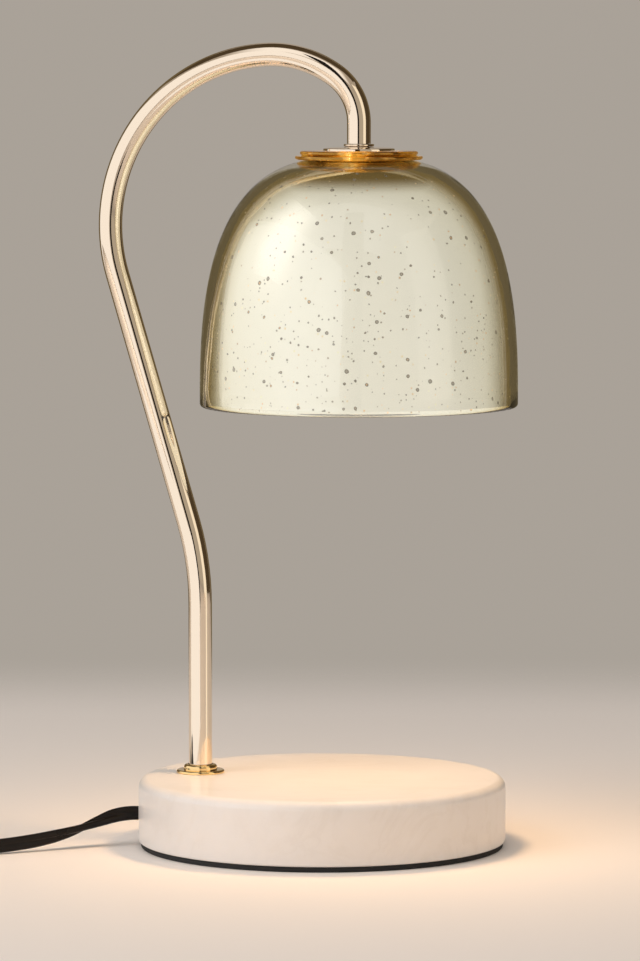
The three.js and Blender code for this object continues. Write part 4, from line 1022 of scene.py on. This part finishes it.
def above_edge(inset):
    """The bell's outline from the silver's lower edge upwards."""
    higher = (spot for spot in bell(inset) if spot[1] > silver_edge + MM)
    return [(SHADE_RADIUS - inset, silver_edge), *higher]


front = above_edge(SHADE_WALL + SILVER_GAP)
back = above_edge(SHADE_WALL + SILVER_GAP + SILVER)
past_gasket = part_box("shade_gasket")[1].y + GASKET_PLAY
lining = turned("shade_silver", [
    *front,
    (past_gasket, front[-1][1]),
    (past_gasket, back[-1][1]),
    *reversed(back),
    front[0],
], TURNED_SIDES, on_crown)

# %% [markdown]
# The silvering has small round flaws, where drops kept the silver off the glass. Most are grey or
# brown spots with a darker ring, a few are tan. Painting them would take an image, so each flaw
# is a point of a scattered grid. A point's own random number says whether it shows, how wide it
# is and what colour it has. Low down there are more of them.

# %% Flaws
WOBBLE = 0.5 * MM                 # how far a flaw's outline strays from round
silver = Finish("worn silvering")
wobble = silver.node("TexNoise", {
    "Vector": silver.place(), "Scale": 1 / (1.2 * MM), "Detail": 1.0,
}, out="Color")


def flaws(spacing, low, high, kept, shift):
    """Round flaws with radii from low to high: where they and their rings are, and their hue."""
    grid = silver.place(centre=(CROWN_X, shift, 0))
    strayed = silver.node("VectorMath", {0: wobble, 1: (WOBBLE, WOBBLE, WOBBLE), 2: grid},
                          operation="MULTIPLY_ADD")
    cell = {"Vector": strayed, "Scale": 1 / spacing}
    away = silver.node("TexVoronoi", cell, out="Distance") * spacing
    own = silver.node("TexVoronoi", cell, out="Color")
    dice, hue = (silver.node("SeparateColor", {0: own}, out=channel) for channel in (0, 1))
    radius = low + silver.spread(dice, 1 - kept, 1) * (high - low)
    fewer = silver.spread(silver.height(), shade_low.z, shade_high.z) * 0.75
    shown = dice > 1 - kept + fewer * kept
    inside = silver.spread(away - radius, 0.06 * MM, -0.06 * MM)
    ringed = silver.spread(away - radius * 0.62, -0.08 * MM, 0.08 * MM)
    return inside * shown, ringed, hue


big, big_ring, big_hue = flaws(3.6 * MM, 0.28 * MM, 0.85 * MM, 0.6, 0.11)
small, _, small_hue = flaws(1.9 * MM, 0.17 * MM, 0.42 * MM, 0.75, 0.4)
heart = silver.node("ValToRGB", {0: big_hue}, stops=(
    (0.0, (0.30, 0.28, 0.24)), (0.72, (0.42, 0.36, 0.28)), (0.80, (0.78, 0.50, 0.24)),
    (1.0, (0.62, 0.36, 0.17))))
dot = silver.node("ValToRGB", {0: small_hue}, stops=(
    (0.0, (0.20, 0.17, 0.13)), (0.6, (0.36, 0.30, 0.22)), (0.75, (0.80, 0.50, 0.22)),
    (1.0, (0.95, 0.80, 0.55))))
tone = silver.mix(big, dot, silver.mix(big_ring, heart, (0.16, 0.13, 0.09)))
flaw = big | small

# %% [markdown]
# Where the silver is seen at a slant, and at the crown, it is a clear dark mirror. Elsewhere it
# is milky, and light from the bulb behind it makes it glow a little. A silver that really lets
# light through would need a long render to look clean, so the milky part gives its own light.

# %% Silvering
CROWN_FADE = (256.5 * MM, 263 * MM)  # the heights where the milky silver gives way to the dark
mist = silver.noise(26 * MM)
facing_away = silver.node("LayerWeight", {"Blend": 0.5}, out="Facing")
edge = silver.spread(facing_away, 0.42, 0.86, kind="SMOOTHSTEP")
clear_mirror = edge | silver.spread(silver.height(), *CROWN_FADE, kind="SMOOTHSTEP")
thin = silver.mix(mist, (0.36, 0.35, 0.32), (0.40, 0.39, 0.35))
shine = silver.mix(clear_mirror, thin, (0.80, 0.71, 0.44))
# Painted light: the milky silver glows cream, dimmer where it is seen at a slant, and nearly dark
# on the clear mirror at the edges and the crown.
cream = silver.mix(mist, (0.665, 0.65, 0.57), (0.61, 0.595, 0.52))
slanted = silver.mix(silver.spread(facing_away, 0.12, 0.5), cream, (0.60, 0.568, 0.45))
glow = silver.mix(clear_mirror, slanted, (0.090, 0.064, 0.022))
glowing_worn_silver = silver.surface(
    Base_Color=silver.mix(flaw, shine, tone),
    Metallic=1 - flaw * 0.9,
    Roughness=0.42 - clear_mirror * 0.34 + flaw * 0.3,
    # Painted light: the flaws glow with a dim share of their own colour, as if the bulb shone
    # through them.
    Emission_Color=silver.mix(flaw * 0.8, glow, silver.mix(0.6, tone, (0.0, 0.0, 0.0))),
    Emission_Strength=1.0,
)
dress(lining, glowing_worn_silver, replaces=["shade"])

# %% [markdown]
# The bulb is a halogen reflector lamp, fifty millimetres wide. Its glass bowl is turned from an
# outline like the bell's, with a straight rim for the lens and a narrow neck. All of the bulb's
# pieces ride on its own body, because the bulb turns when it is locked.

# %% Bulb bowl
BULB_RIM = 4 * MM
BOWL_WALL = 1.4 * MM
BOWL_POWER = 1.35
NECK_RADIUS = 11.5 * MM
NECK_BORE = 5.5 * MM
BOWL_EDGE = 0.5 * MM
bowl_low, bowl_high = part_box("bulb_reflector")
bowl_radius = bowl_high.y


def bowl(inset, steps):
    """The bowl's outline, from its rim to its neck."""
    shares = [i / steps for i in range(steps + 1)]
    return [(NECK_RADIUS + (bowl_radius - NECK_RADIUS) * math.sqrt(1 - s ** BOWL_POWER) - inset,
             bowl_low.z + BULB_RIM + (bowl_high.z - bowl_low.z - BULB_RIM) * s) for s in shares]


shell = turned("bulb_bowl", [
    (bowl_radius - BOWL_WALL, bowl_low.z),
    *rounded(bowl_radius, bowl_low.z, BOWL_EDGE, -90, 0, 4),
    *bowl(0, 20),
    (NECK_BORE, bowl_high.z),
    (NECK_BORE, bowl_high.z - BOWL_WALL),
    *reversed(bowl(BOWL_WALL, 20)[:-1]),
    (bowl_radius - BOWL_WALL, bowl_low.z),
], 80, on_crown)
foil = Finish("silvered bowl")
film = foil.noise(6 * MM)
bowl_silver = foil.surface(
    Base_Color=foil.mix(film, (0.80, 0.79, 0.80), (0.72, 0.71, 0.73)),
    Metallic=1.0,
    Roughness=0.12 + film * 0.12,
)
dress(shell, bowl_silver, body="bulb", replaces=["bulb_reflector"])

# %% [markdown]
# Inside, the bowl is silvered with small flat facets, which spread the light. A pattern of bumps
# would only shade them. So a second, thinner bowl is turned inside the first, with few sides and
# few steps, and its faces are left flat: those are the facets.

# %% Facets
FACET_SHEET = 0.2 * MM
FACETS_ROUND, FACETS_UP = 26, 7
faceted = bowl(BOWL_WALL + FACET_SHEET, FACETS_UP)[:-1]
facets = turned("bulb_facets", [
    *faceted,
    *reversed(bowl(BOWL_WALL + 2 * FACET_SHEET, FACETS_UP)[:-1]),
    faceted[0],
], FACETS_ROUND, on_crown)
bpy.ops.object.shade_flat()
mirror = Finish("bright facets")
smear = mirror.noise(3 * MM)
bright = mirror.surface(
    Base_Color=mirror.mix(smear, (0.92, 0.90, 0.87), (0.86, 0.84, 0.80)),
    Metallic=1.0,
    Roughness=0.04 + smear * 0.05,
)
dress(facets, bright, body="bulb", replaces=["bulb_reflector"])

# %% [markdown]
# A clear lens closes the bowl. It is flat outside and a little domed inside, so it bends the view
# of the facets. A flat disc would hardly show, and this one costs only five more points in its
# outline.

# %% Bulb lens
LENS_EDGE = 0.3 * MM
LENS_CROWN = 0.7 * MM             # how much the lens's inside is domed
lens_low, lens_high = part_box("bulb_lens")
lens_radius = lens_high.y
lens = turned("bulb_front", [
    (0, lens_low.z),
    *rounded(lens_radius, lens_low.z, LENS_EDGE, -90, 0, 3),
    *((lens_radius * x, lens_high.z - LENS_CROWN * x * x) for x in (1, 0.9, 0.75, 0.5, 0.25, 0)),
], 80, on_crown)
window = Finish("clear lens")
wave = window.noise(5 * MM)
clear_lens = window.surface(
    Base_Color=window.mix(wave, (1, 1, 1), (0.96, 0.97, 0.96)),
    Normal=window.bump(wave, 0.1 * MM),
    Roughness=0.02,
    IOR=1.47,
    Transmission_Weight=1.0,
)
dress(lens, clear_lens, body="bulb", replaces=["bulb_lens"])

# %% [markdown]
# Inside the bowl stands the small glass capsule that gives the light. It could be a true light,
# but a glowing surface is enough to be seen, and the light on the foot then stays easy to set.

# %% Bulb capsule
capsule_low, capsule_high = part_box("bulb_capsule")
capsule = turned("bulb_filament_tube", [
    *arc(0, capsule_low.z + capsule_high.y, capsule_high.y, -90, 0, 8),
    (capsule_high.y, capsule_high.z),
    (0, capsule_high.z),
], 40, on_crown)
hot = Finish("lit capsule")
heat = hot.spread(hot.height(), capsule_high.z, capsule_low.z)
lit = hot.surface(
    Base_Color=hot.mix(heat, (0.9, 0.85, 0.78), (1.0, 0.94, 0.82)),
    Roughness=0.15,
    Emission_Color=hot.mix(heat, (0.8, 0.35, 0.12), (1.0, 0.82, 0.55)),
    Emission_Strength=2.0,
)
dress(capsule, lit, body="bulb", replaces=["bulb_capsule"])

# %% [markdown]
# Behind the bowl a ceramic cap holds the two locking pins. It is cast and fired, so its edges are
# round and its skin is dull with a fine grit, which only a small bump can give at this size.

# %% Bulb cap
CAP_LIFT = 0.4 * MM               # of the cap's widest part over its lower face
CAP_LOWER_EDGE, CAP_UPPER_EDGE = 1.2 * MM, 1.4 * MM
cap_low, cap_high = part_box("bulb_cap")
cap = turned("bulb_base", [
    (0, cap_low.z),
    (NECK_RADIUS, cap_low.z),
    *rounded(cap_high.y, cap_low.z + CAP_LIFT, CAP_LOWER_EDGE, -60, 0),
    *rounded(cap_high.y, cap_high.z, CAP_UPPER_EDGE, 0, 90, 6),
    (0, cap_high.z),
], 64, on_crown)
clay = Finish("unglazed ceramic")
grit = clay.noise(0.7 * MM, detail=4)
ceramic = clay.surface(
    Base_Color=clay.mix(grit, (0.80, 0.785, 0.745), (0.87, 0.86, 0.82)),
    Roughness=0.55 + grit * 0.2,
    Normal=clay.bump(grit, 0.04 * MM),
)
dress(cap, ceramic, body="bulb", replaces=["bulb_cap"])

# %% [markdown]
# The lit bulb throws a warm pool of light on the foot. A small disc lamp just under the lens does
# that. It is weak, because the studio lamps already show the colours as they are.

# %% Bulb light
BULB_POWER = 0.27
BULB_COLOR = (1.0, 0.63, 0.32)
bulb_light = area_light("bulb_light", (CROWN_X, 0, bowl_low.z - MM), "DISK",
                        (2 * lens_radius, 2 * lens_radius), BULB_POWER, BULB_COLOR)
print("bulb light at", [round(v / MM) for v in bulb_light.location], "mm")

# %% [markdown]
# The dimmer is a small box that sits in the cord. Two moulded half-shells are screwed together,
# and a ribbed wheel stands out of the top. A box with soft corners starts as a cube: first its
# four upright edges are bevelled, then the outline of its top or bottom face. One bevel of all
# edges at once would be quicker, but it would give them all the same radius.


# %% Rounded blocks and plates
def round_outline(piece, level, width):
    """Bevels the outline of a flat face that lies at a height."""
    picked(piece, lambda corners: all(abs(spot.z - level) < SAME_SPOT for spot in corners))
    bpy.ops.mesh.bevel(offset=width, segments=5, affect="EDGES")
    bpy.ops.object.mode_set(mode="OBJECT")


def block(low, high, corner=0.0, name="cutter"):
    """A box between two opposite corners, with its upright edges rounded."""
    low, high = Vector(low), Vector(high)
    bpy.ops.object.select_all(action="DESELECT")
    bpy.ops.mesh.primitive_cube_add(size=1, location=(low + high) / 2, scale=high - low)
    box = settled(name)
    if corner:
        picked(box, lambda corners: abs(corners[0].z - corners[1].z) > MM / 10)
        bpy.ops.mesh.bevel(offset=corner, segments=10, affect="EDGES")
        bpy.ops.object.mode_set(mode="OBJECT")
    return box


def slab(outline, depth, name="cutter"):
    """A plate with a drawn outline, from height zero upwards."""
    chain([*outline, outline[0]], upright=False)
    bpy.ops.mesh.remove_doubles(threshold=SAME_SPOT)
    bpy.ops.mesh.edge_face_add()
    bpy.ops.mesh.extrude_region_move(TRANSFORM_OT_translate={"value": (0, 0, depth)})
    closed_up()
    return settled(name)


def twin_slot(start, end, height, play):
    """A tool for the flat cord, wide side upright, along X at a height."""
    bar = slab(twin_outline(play), end - start)
    bar.rotation_euler = (0, math.pi / 2, 0)
    bar.location = (start, 0, height)
    return settled()


def put(piece, turn, spot):
    """Turns a piece that was made at the origin and sets it down at its place."""
    only(piece)
    piece.rotation_euler = (0, 0, turn)
    piece.location = spot
    return smooth(settled(piece.name))


# %% [markdown]
# Each half-shell is a rounded block, hollowed out, with a column for each of the two screws. The
# lower one has pockets for the screws' heads. The upper one has a slot for the wheel. A closed
# box would look the same from above, but a cable's box is opened to wire it, so it is made as two
# true shells, and the line where they meet shows all round.

# %% Dimmer case
DIMMER_SPOT = laid(-238, 5.4, 0.1)
DIMMER_TURN = VIEW_TURN + math.pi / 2
CASE_X, CASE_Y, CASE_TOP = 28 * MM, 13 * MM, 16 * MM
CASE_SPLIT = 7 * MM
CASE_SEAT = 0.1 * MM
CASE_WALL = 1.8 * MM
CASE_CORNER = 9 * MM
CASE_EDGE = 2.2 * MM
SCREWS = (-19 * MM, 19 * MM)
COLUMN = 3.3 * MM
SCREW_HOLE = 1.5 * MM
SCREW_TIP = 11.1 * MM
HEAD_POCKET = (2.8 * MM, 1.8 * MM)
WHEEL_RADIUS = 8 * MM
WHEEL_WIDTH = 5 * MM
AXLE_HEIGHT = 10.4 * MM
WHEEL_SLOT_X, WHEEL_SLOT_Y = 7.6 * MM, 2.8 * MM
WHEEL_SLOT_CORNER = 0.3 * MM
CORD_PLAY = 0.6 * MM


def half_case(name, bottom, top):
    """One shell of the case, hollow, with its screw columns and the cord's way through it."""
    shell = block((-CASE_X, -CASE_Y, bottom), (CASE_X, CASE_Y, top), CASE_CORNER, name)
    round_outline(shell, 0 if bottom == 0 else top, CASE_EDGE)
    inside = block((CASE_WALL - CASE_X, CASE_WALL - CASE_Y, CASE_WALL),
                   (CASE_X - CASE_WALL, CASE_Y - CASE_WALL, CASE_TOP - CASE_WALL),
                   CASE_CORNER - CASE_WALL)
    cut(shell, inside)
    roots = (bottom or CASE_WALL / 2, min(top, CASE_TOP - CASE_WALL / 2))
    cut(shell, *(rod(COLUMN, *roots, x, 28) for x in SCREWS), operation="UNION")
    holes = [rod(SCREW_HOLE, -BEYOND, SCREW_TIP, x, 20) for x in SCREWS]
    cord_way = twin_slot(-CASE_X - BEYOND, CASE_X + BEYOND, CASE_SPLIT, CORD_PLAY)
    return cut(shell, *holes, cord_way)


lower = half_case("dimmer_bottom", 0, CASE_SPLIT)
pockets = [rod(HEAD_POCKET[0], -BEYOND, HEAD_POCKET[1], x, 28) for x in SCREWS]
lower = put(cut(lower, *pockets), DIMMER_TURN, DIMMER_SPOT)
upper = half_case("dimmer_top", CASE_SPLIT + CASE_SEAT, CASE_TOP)
wheel_slot = block((-WHEEL_SLOT_X, -WHEEL_SLOT_Y, AXLE_HEIGHT),
                   (WHEEL_SLOT_X, WHEEL_SLOT_Y, CASE_TOP + BEYOND), WHEEL_SLOT_CORNER)
upper = put(cut(upper, wheel_slot), DIMMER_TURN, DIMMER_SPOT)

# %% [markdown]
# The case and the plug are of the same black plastic. A picture of such a skin would do, but it
# would show its edges when it is repeated. So two noises make it: a fine one for the grain that
# an etched mould leaves, and a slow one for a satin shine that handling has made uneven.

# %% Moulded black
mould = Finish("satin black moulding")
spark = mould.noise(0.45 * MM, detail=3)
wipe = mould.noise(18 * MM)
black_case = mould.surface(
    Base_Color=mould.mix(wipe, (0.013, 0.012, 0.012), (0.020, 0.019, 0.018)),
    Roughness=0.38 + wipe * 0.14,
    Normal=mould.bump(spark, 0.03 * MM),
)
dress(lower, black_case, replaces=["dimmer_lower_case"])
dress(upper, black_case, replaces=["dimmer_upper_case"])

# %% [markdown]
# The wheel's ribs give the thumb a grip. They could be separate bars set round a disc, but a
# moulded wheel is one piece. So they are made from a plain disc with one facet for each rib and
# each gap. Every second facet is inset and raised, which gives each rib its sloping sides.

# %% Dimmer wheel
RIBS = 28
RIB = 0.5 * MM
RIB_SLOPE = 0.1 * MM
FACET = math.pi / RIBS            # the angle of one rib, or of one gap
WHEEL_BORE = 1.8 * MM
bpy.ops.object.select_all(action="DESELECT")
bpy.ops.mesh.primitive_cylinder_add(vertices=2 * RIBS, radius=WHEEL_RADIUS - RIB,
                                    depth=WHEEL_WIDTH)
wheel = settled("ribbed_wheel")


def on_rib(corners):
    middle = sum(corners, Vector()) / len(corners)
    turns = math.atan2(middle.y, middle.x) / FACET
    return middle.xy.length > WHEEL_RADIUS / 2 and round(turns - 0.5) % 2 == 0


picked(wheel, on_rib, kind="FACE")
bpy.ops.mesh.inset(thickness=RIB_SLOPE, depth=RIB, use_individual=True)
bpy.ops.object.mode_set(mode="OBJECT")
cut(wheel, rod(WHEEL_BORE, -WHEEL_WIDTH, WHEEL_WIDTH, sides=24))
wheel.rotation_euler = (math.pi / 2, 0, 0)
wheel = put(settled("ribbed_wheel"), DIMMER_TURN, DIMMER_SPOT + Vector((0, 0, AXLE_HEIGHT)))
grip = Finish("ribbed black")
grime = grip.noise(4 * MM)
black_wheel = grip.surface(
    Base_Color=grip.mix(grime, (0.030, 0.029, 0.028), (0.050, 0.048, 0.046)),
    Roughness=0.45 + grime * 0.2,
)
dress(wheel, black_wheel, body="dimmer_wheel", replaces=["dimmer_wheel"])

# %% [markdown]
# The plug is moulded round the cord's end. Its body is flat with curved shoulders, which no
# primitive has, so its plan is drawn as an outline, filled, raised and rounded.

# %% Plug body
NECK_LENGTH = 21 * MM
PLUG_HALF, PLUG_FRONT = 11 * MM, 45 * MM
PLUG_BACK_HALF = 4.5 * MM
PLUG_SHOULDER = (33 * MM, PLUG_HALF)
PLUG_PULL = (23.5 * MM, PLUG_HALF)
PLUG_CORNER = 4 * MM
PLUG_HEIGHT = 12 * MM
PLUG_EDGE = 2 * MM


def swing(a, b, c, steps=8):
    """Points of a curve in an outline from a to c, drawn towards b."""
    shares = [i / steps for i in range(steps + 1)]
    return [tuple((1 - t) ** 2 * p + 2 * t * (1 - t) * q + t * t * r for p, q, r in zip(a, b, c))
            for t in shares]


plan = [
    *swing((NECK_LENGTH, PLUG_BACK_HALF), PLUG_PULL, PLUG_SHOULDER),
    *arc(PLUG_FRONT - PLUG_CORNER, PLUG_HALF - PLUG_CORNER, PLUG_CORNER, 90, 0),
]
plug = slab([*plan, *((x, -y) for x, y in reversed(plan))], PLUG_HEIGHT, "plug_moulding")
for level in (0, PLUG_HEIGHT):
    round_outline(plug, level, PLUG_EDGE)
only(plug)
plug.location.z = -PLUG_HEIGHT / 2
plug = settled("plug_moulding")
print("plug body:", len(plug.data.polygons), "faces")

# %% [markdown]
# The plug's tapered neck has grooves, so that the cord bends gently where it enters. It is
# turned, laid on its side and joined on. Last, the blades and the cord get their slots, and the
# whole plug is set down beside the coil.

# %% Plug neck and slots
PLUG_SPOT = laid(-182, 88.8, 6.1)
PLUG_TURN = VIEW_TURN + math.pi
NECK_ENTRY, NECK_ROOT = 4 * MM, 5 * MM
NECK_EDGE = 0.4 * MM
GROOVES = 5
GROOVE_START, GROOVE_PITCH = 4.4 * MM, 3.2 * MM
GROOVE_DEPTH, GROOVE_SLOPE, GROOVE_WIDTH = 0.8 * MM, 0.3 * MM, 1.5 * MM
NECK_ROOTED = 3 * MM              # how far the neck reaches into the body
BLADE_SIDE = 6.35 * MM
BLADE_SLOT = 1.05 * MM
BLADE_ROOT = 3.2 * MM
BLADE_HALVES = (3.5 * MM, 4.25 * MM)  # one blade is wider, so that the plug goes in one way
CORD_SEAT = 3.4 * MM

taper = [(0, 0), (NECK_ENTRY - NECK_EDGE, 0), (NECK_ENTRY, NECK_EDGE)]
for i in range(GROOVES):
    start = GROOVE_START + GROOVE_PITCH * i
    end = start + GROOVE_WIDTH
    radius = NECK_ENTRY + (NECK_ROOT - NECK_ENTRY) * start / NECK_LENGTH
    taper += [(radius, start), (radius - GROOVE_DEPTH, start + GROOVE_SLOPE),
              (radius - GROOVE_DEPTH, end - GROOVE_SLOPE), (radius, end)]
neck_end = NECK_LENGTH + NECK_ROOTED
taper += [(NECK_ROOT, NECK_LENGTH), (NECK_ROOT, neck_end), (0, neck_end)]
neck = turned("neck", taper, 40)
neck.rotation_euler = (0, math.pi / 2, 0)
cut(plug, settled(), operation="UNION")
blade_slots = [
    block((PLUG_FRONT - BLADE_ROOT, middle - BLADE_SLOT, -tall),
          (PLUG_FRONT + BEYOND, middle + BLADE_SLOT, tall))
    for middle, tall in zip((-BLADE_SIDE, BLADE_SIDE), BLADE_HALVES)
]
plug = cut(plug, twin_slot(-BEYOND, CORD_SEAT, 0, CORD_PLAY), *blade_slots)
plug = put(plug, PLUG_TURN, PLUG_SPOT)
dress(plug, black_case, replaces=["plug_body"])

# %% [markdown]
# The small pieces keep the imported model's shape: nuts, washers, screws, nipples, the folded
# bracket, the socket and its wires. They are plain and mostly out of sight, so a new shape would
# add nothing. Each gets a finish with the marks that such a piece has. Steel parts are zinc
# plated, which leaves a spangle of small crystals and fine scratches. Contacts are rolled bronze
# and the blades are brushed brass, so their marks are long one way.

# %% Small metal finishes
zinc = Finish("zinc plate")
spangle = zinc.noise(2.5 * MM, detail=5, roughness=0.65)
scratch = zinc.noise(0.6 * MM, place=zinc.place(stretch=(1, 1, 14)))
zinc_plate = zinc.surface(
    Base_Color=zinc.mix(spangle, (0.56, 0.56, 0.55), (0.70, 0.70, 0.68)),
    Metallic=1.0,
    Roughness=0.22 + spangle * 0.22,
    Normal=zinc.bump(scratch, 0.01 * MM),
)
spring = Finish("spring bronze")
rolled = spring.noise(0.3 * MM, place=spring.place(stretch=(1, 12, 1)))
bronze = spring.surface(
    Base_Color=spring.mix(rolled, (0.60, 0.37, 0.18), (0.72, 0.47, 0.24)),
    Metallic=1.0,
    Roughness=0.25 + rolled * 0.15,
)
strip = Finish("bright brass")
along_blade = strip.place(turn=(0, 0, -PLUG_TURN), stretch=(0.06, 1, 1))
brushed = strip.noise(0.25 * MM, place=along_blade)
bright_brass = strip.surface(
    Base_Color=strip.mix(brushed, (0.75, 0.58, 0.28), (0.86, 0.70, 0.38)),
    Metallic=1.0,
    Roughness=0.16 + brushed * 0.16,
)
print("metals:", [metal.name for metal in (zinc_plate, bronze, bright_brass)])

# %% [markdown]
# The rest is soft or pressed. The gasket is pressed fibre, brown with short strands. The circuit
# board is glass cloth under green lacquer, so it shows a fine weave. The wires' sleeves and the
# crimp caps are soft plastic, which one helper makes in three colours.

# %% Other small finishes
pulp = Finish("pressed fibre")
strands = pulp.noise(0.8 * MM, detail=5, roughness=0.7, place=pulp.place(stretch=(1, 3, 1)))
fibre = pulp.surface(
    Base_Color=pulp.mix(strands, (0.26, 0.16, 0.09), (0.42, 0.29, 0.18)),
    Roughness=0.85,
    Normal=pulp.bump(strands, 0.08 * MM),
)
laminate = Finish("circuit board")
threads = {"Vector": laminate.place(), "Scale": 1 / (0.4 * MM)}
weave = laminate.node("TexChecker", threads, out=1)
green = laminate.surface(
    Base_Color=laminate.mix(weave, (0.02, 0.10, 0.045), (0.03, 0.13, 0.06)),
    Roughness=0.3,
)


def plastic(name, dark, light):
    """Soft plastic over a wire or a joint."""
    finish = Finish(name)
    ripples = finish.noise(3 * MM)
    return finish.surface(Base_Color=finish.mix(ripples, dark, light), Roughness=0.4,
                          Normal=finish.bump(ripples, 0.1 * MM))


# %% [markdown]
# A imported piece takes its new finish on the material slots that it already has, so that nothing
# else about it changes. The record says what each piece is made of, so one table from there to a
# finish is enough, and no piece can be forgotten.

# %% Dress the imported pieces
looks = {
    "steel": zinc_plate,
    "fibre": fibre,
    "ceramic": ceramic,
    "bronze": bronze,
    "wire_live": plastic("black sleeve", (0.02, 0.02, 0.02), (0.035, 0.034, 0.033)),
    "wire_neutral": plastic("white sleeve", (0.72, 0.71, 0.66), (0.80, 0.79, 0.74)),
    "crimp": plastic("cream nylon", (0.62, 0.57, 0.45), (0.72, 0.67, 0.55)),
    "bushing": black_case,
    "board": green,
    "blade": bright_brass,
}
slot_of = {part["node"]: part["material_slot"] for part in frame["record"]["subparts"]}
kept = [name for name in nodes if not nodes[name].hide_render]
for name in kept:
    for material_slot in nodes[name].material_slots:
        material_slot.material = looks[slot_of[name]]
print(len(kept), "packed pieces keep their shape")

# %% [markdown]
# The two free lengths of cord run from the foot to the dimmer and from the dimmer to the plug;
# their lengths are printed where their lines are laid out.

# %% [markdown]
# Last, the flex's section outline is removed, and the picture's colours are left as they are.

# %% Finish
bpy.data.objects.remove(section, do_unlink=True)
bpy.context.scene.view_settings.view_transform = "Standard"
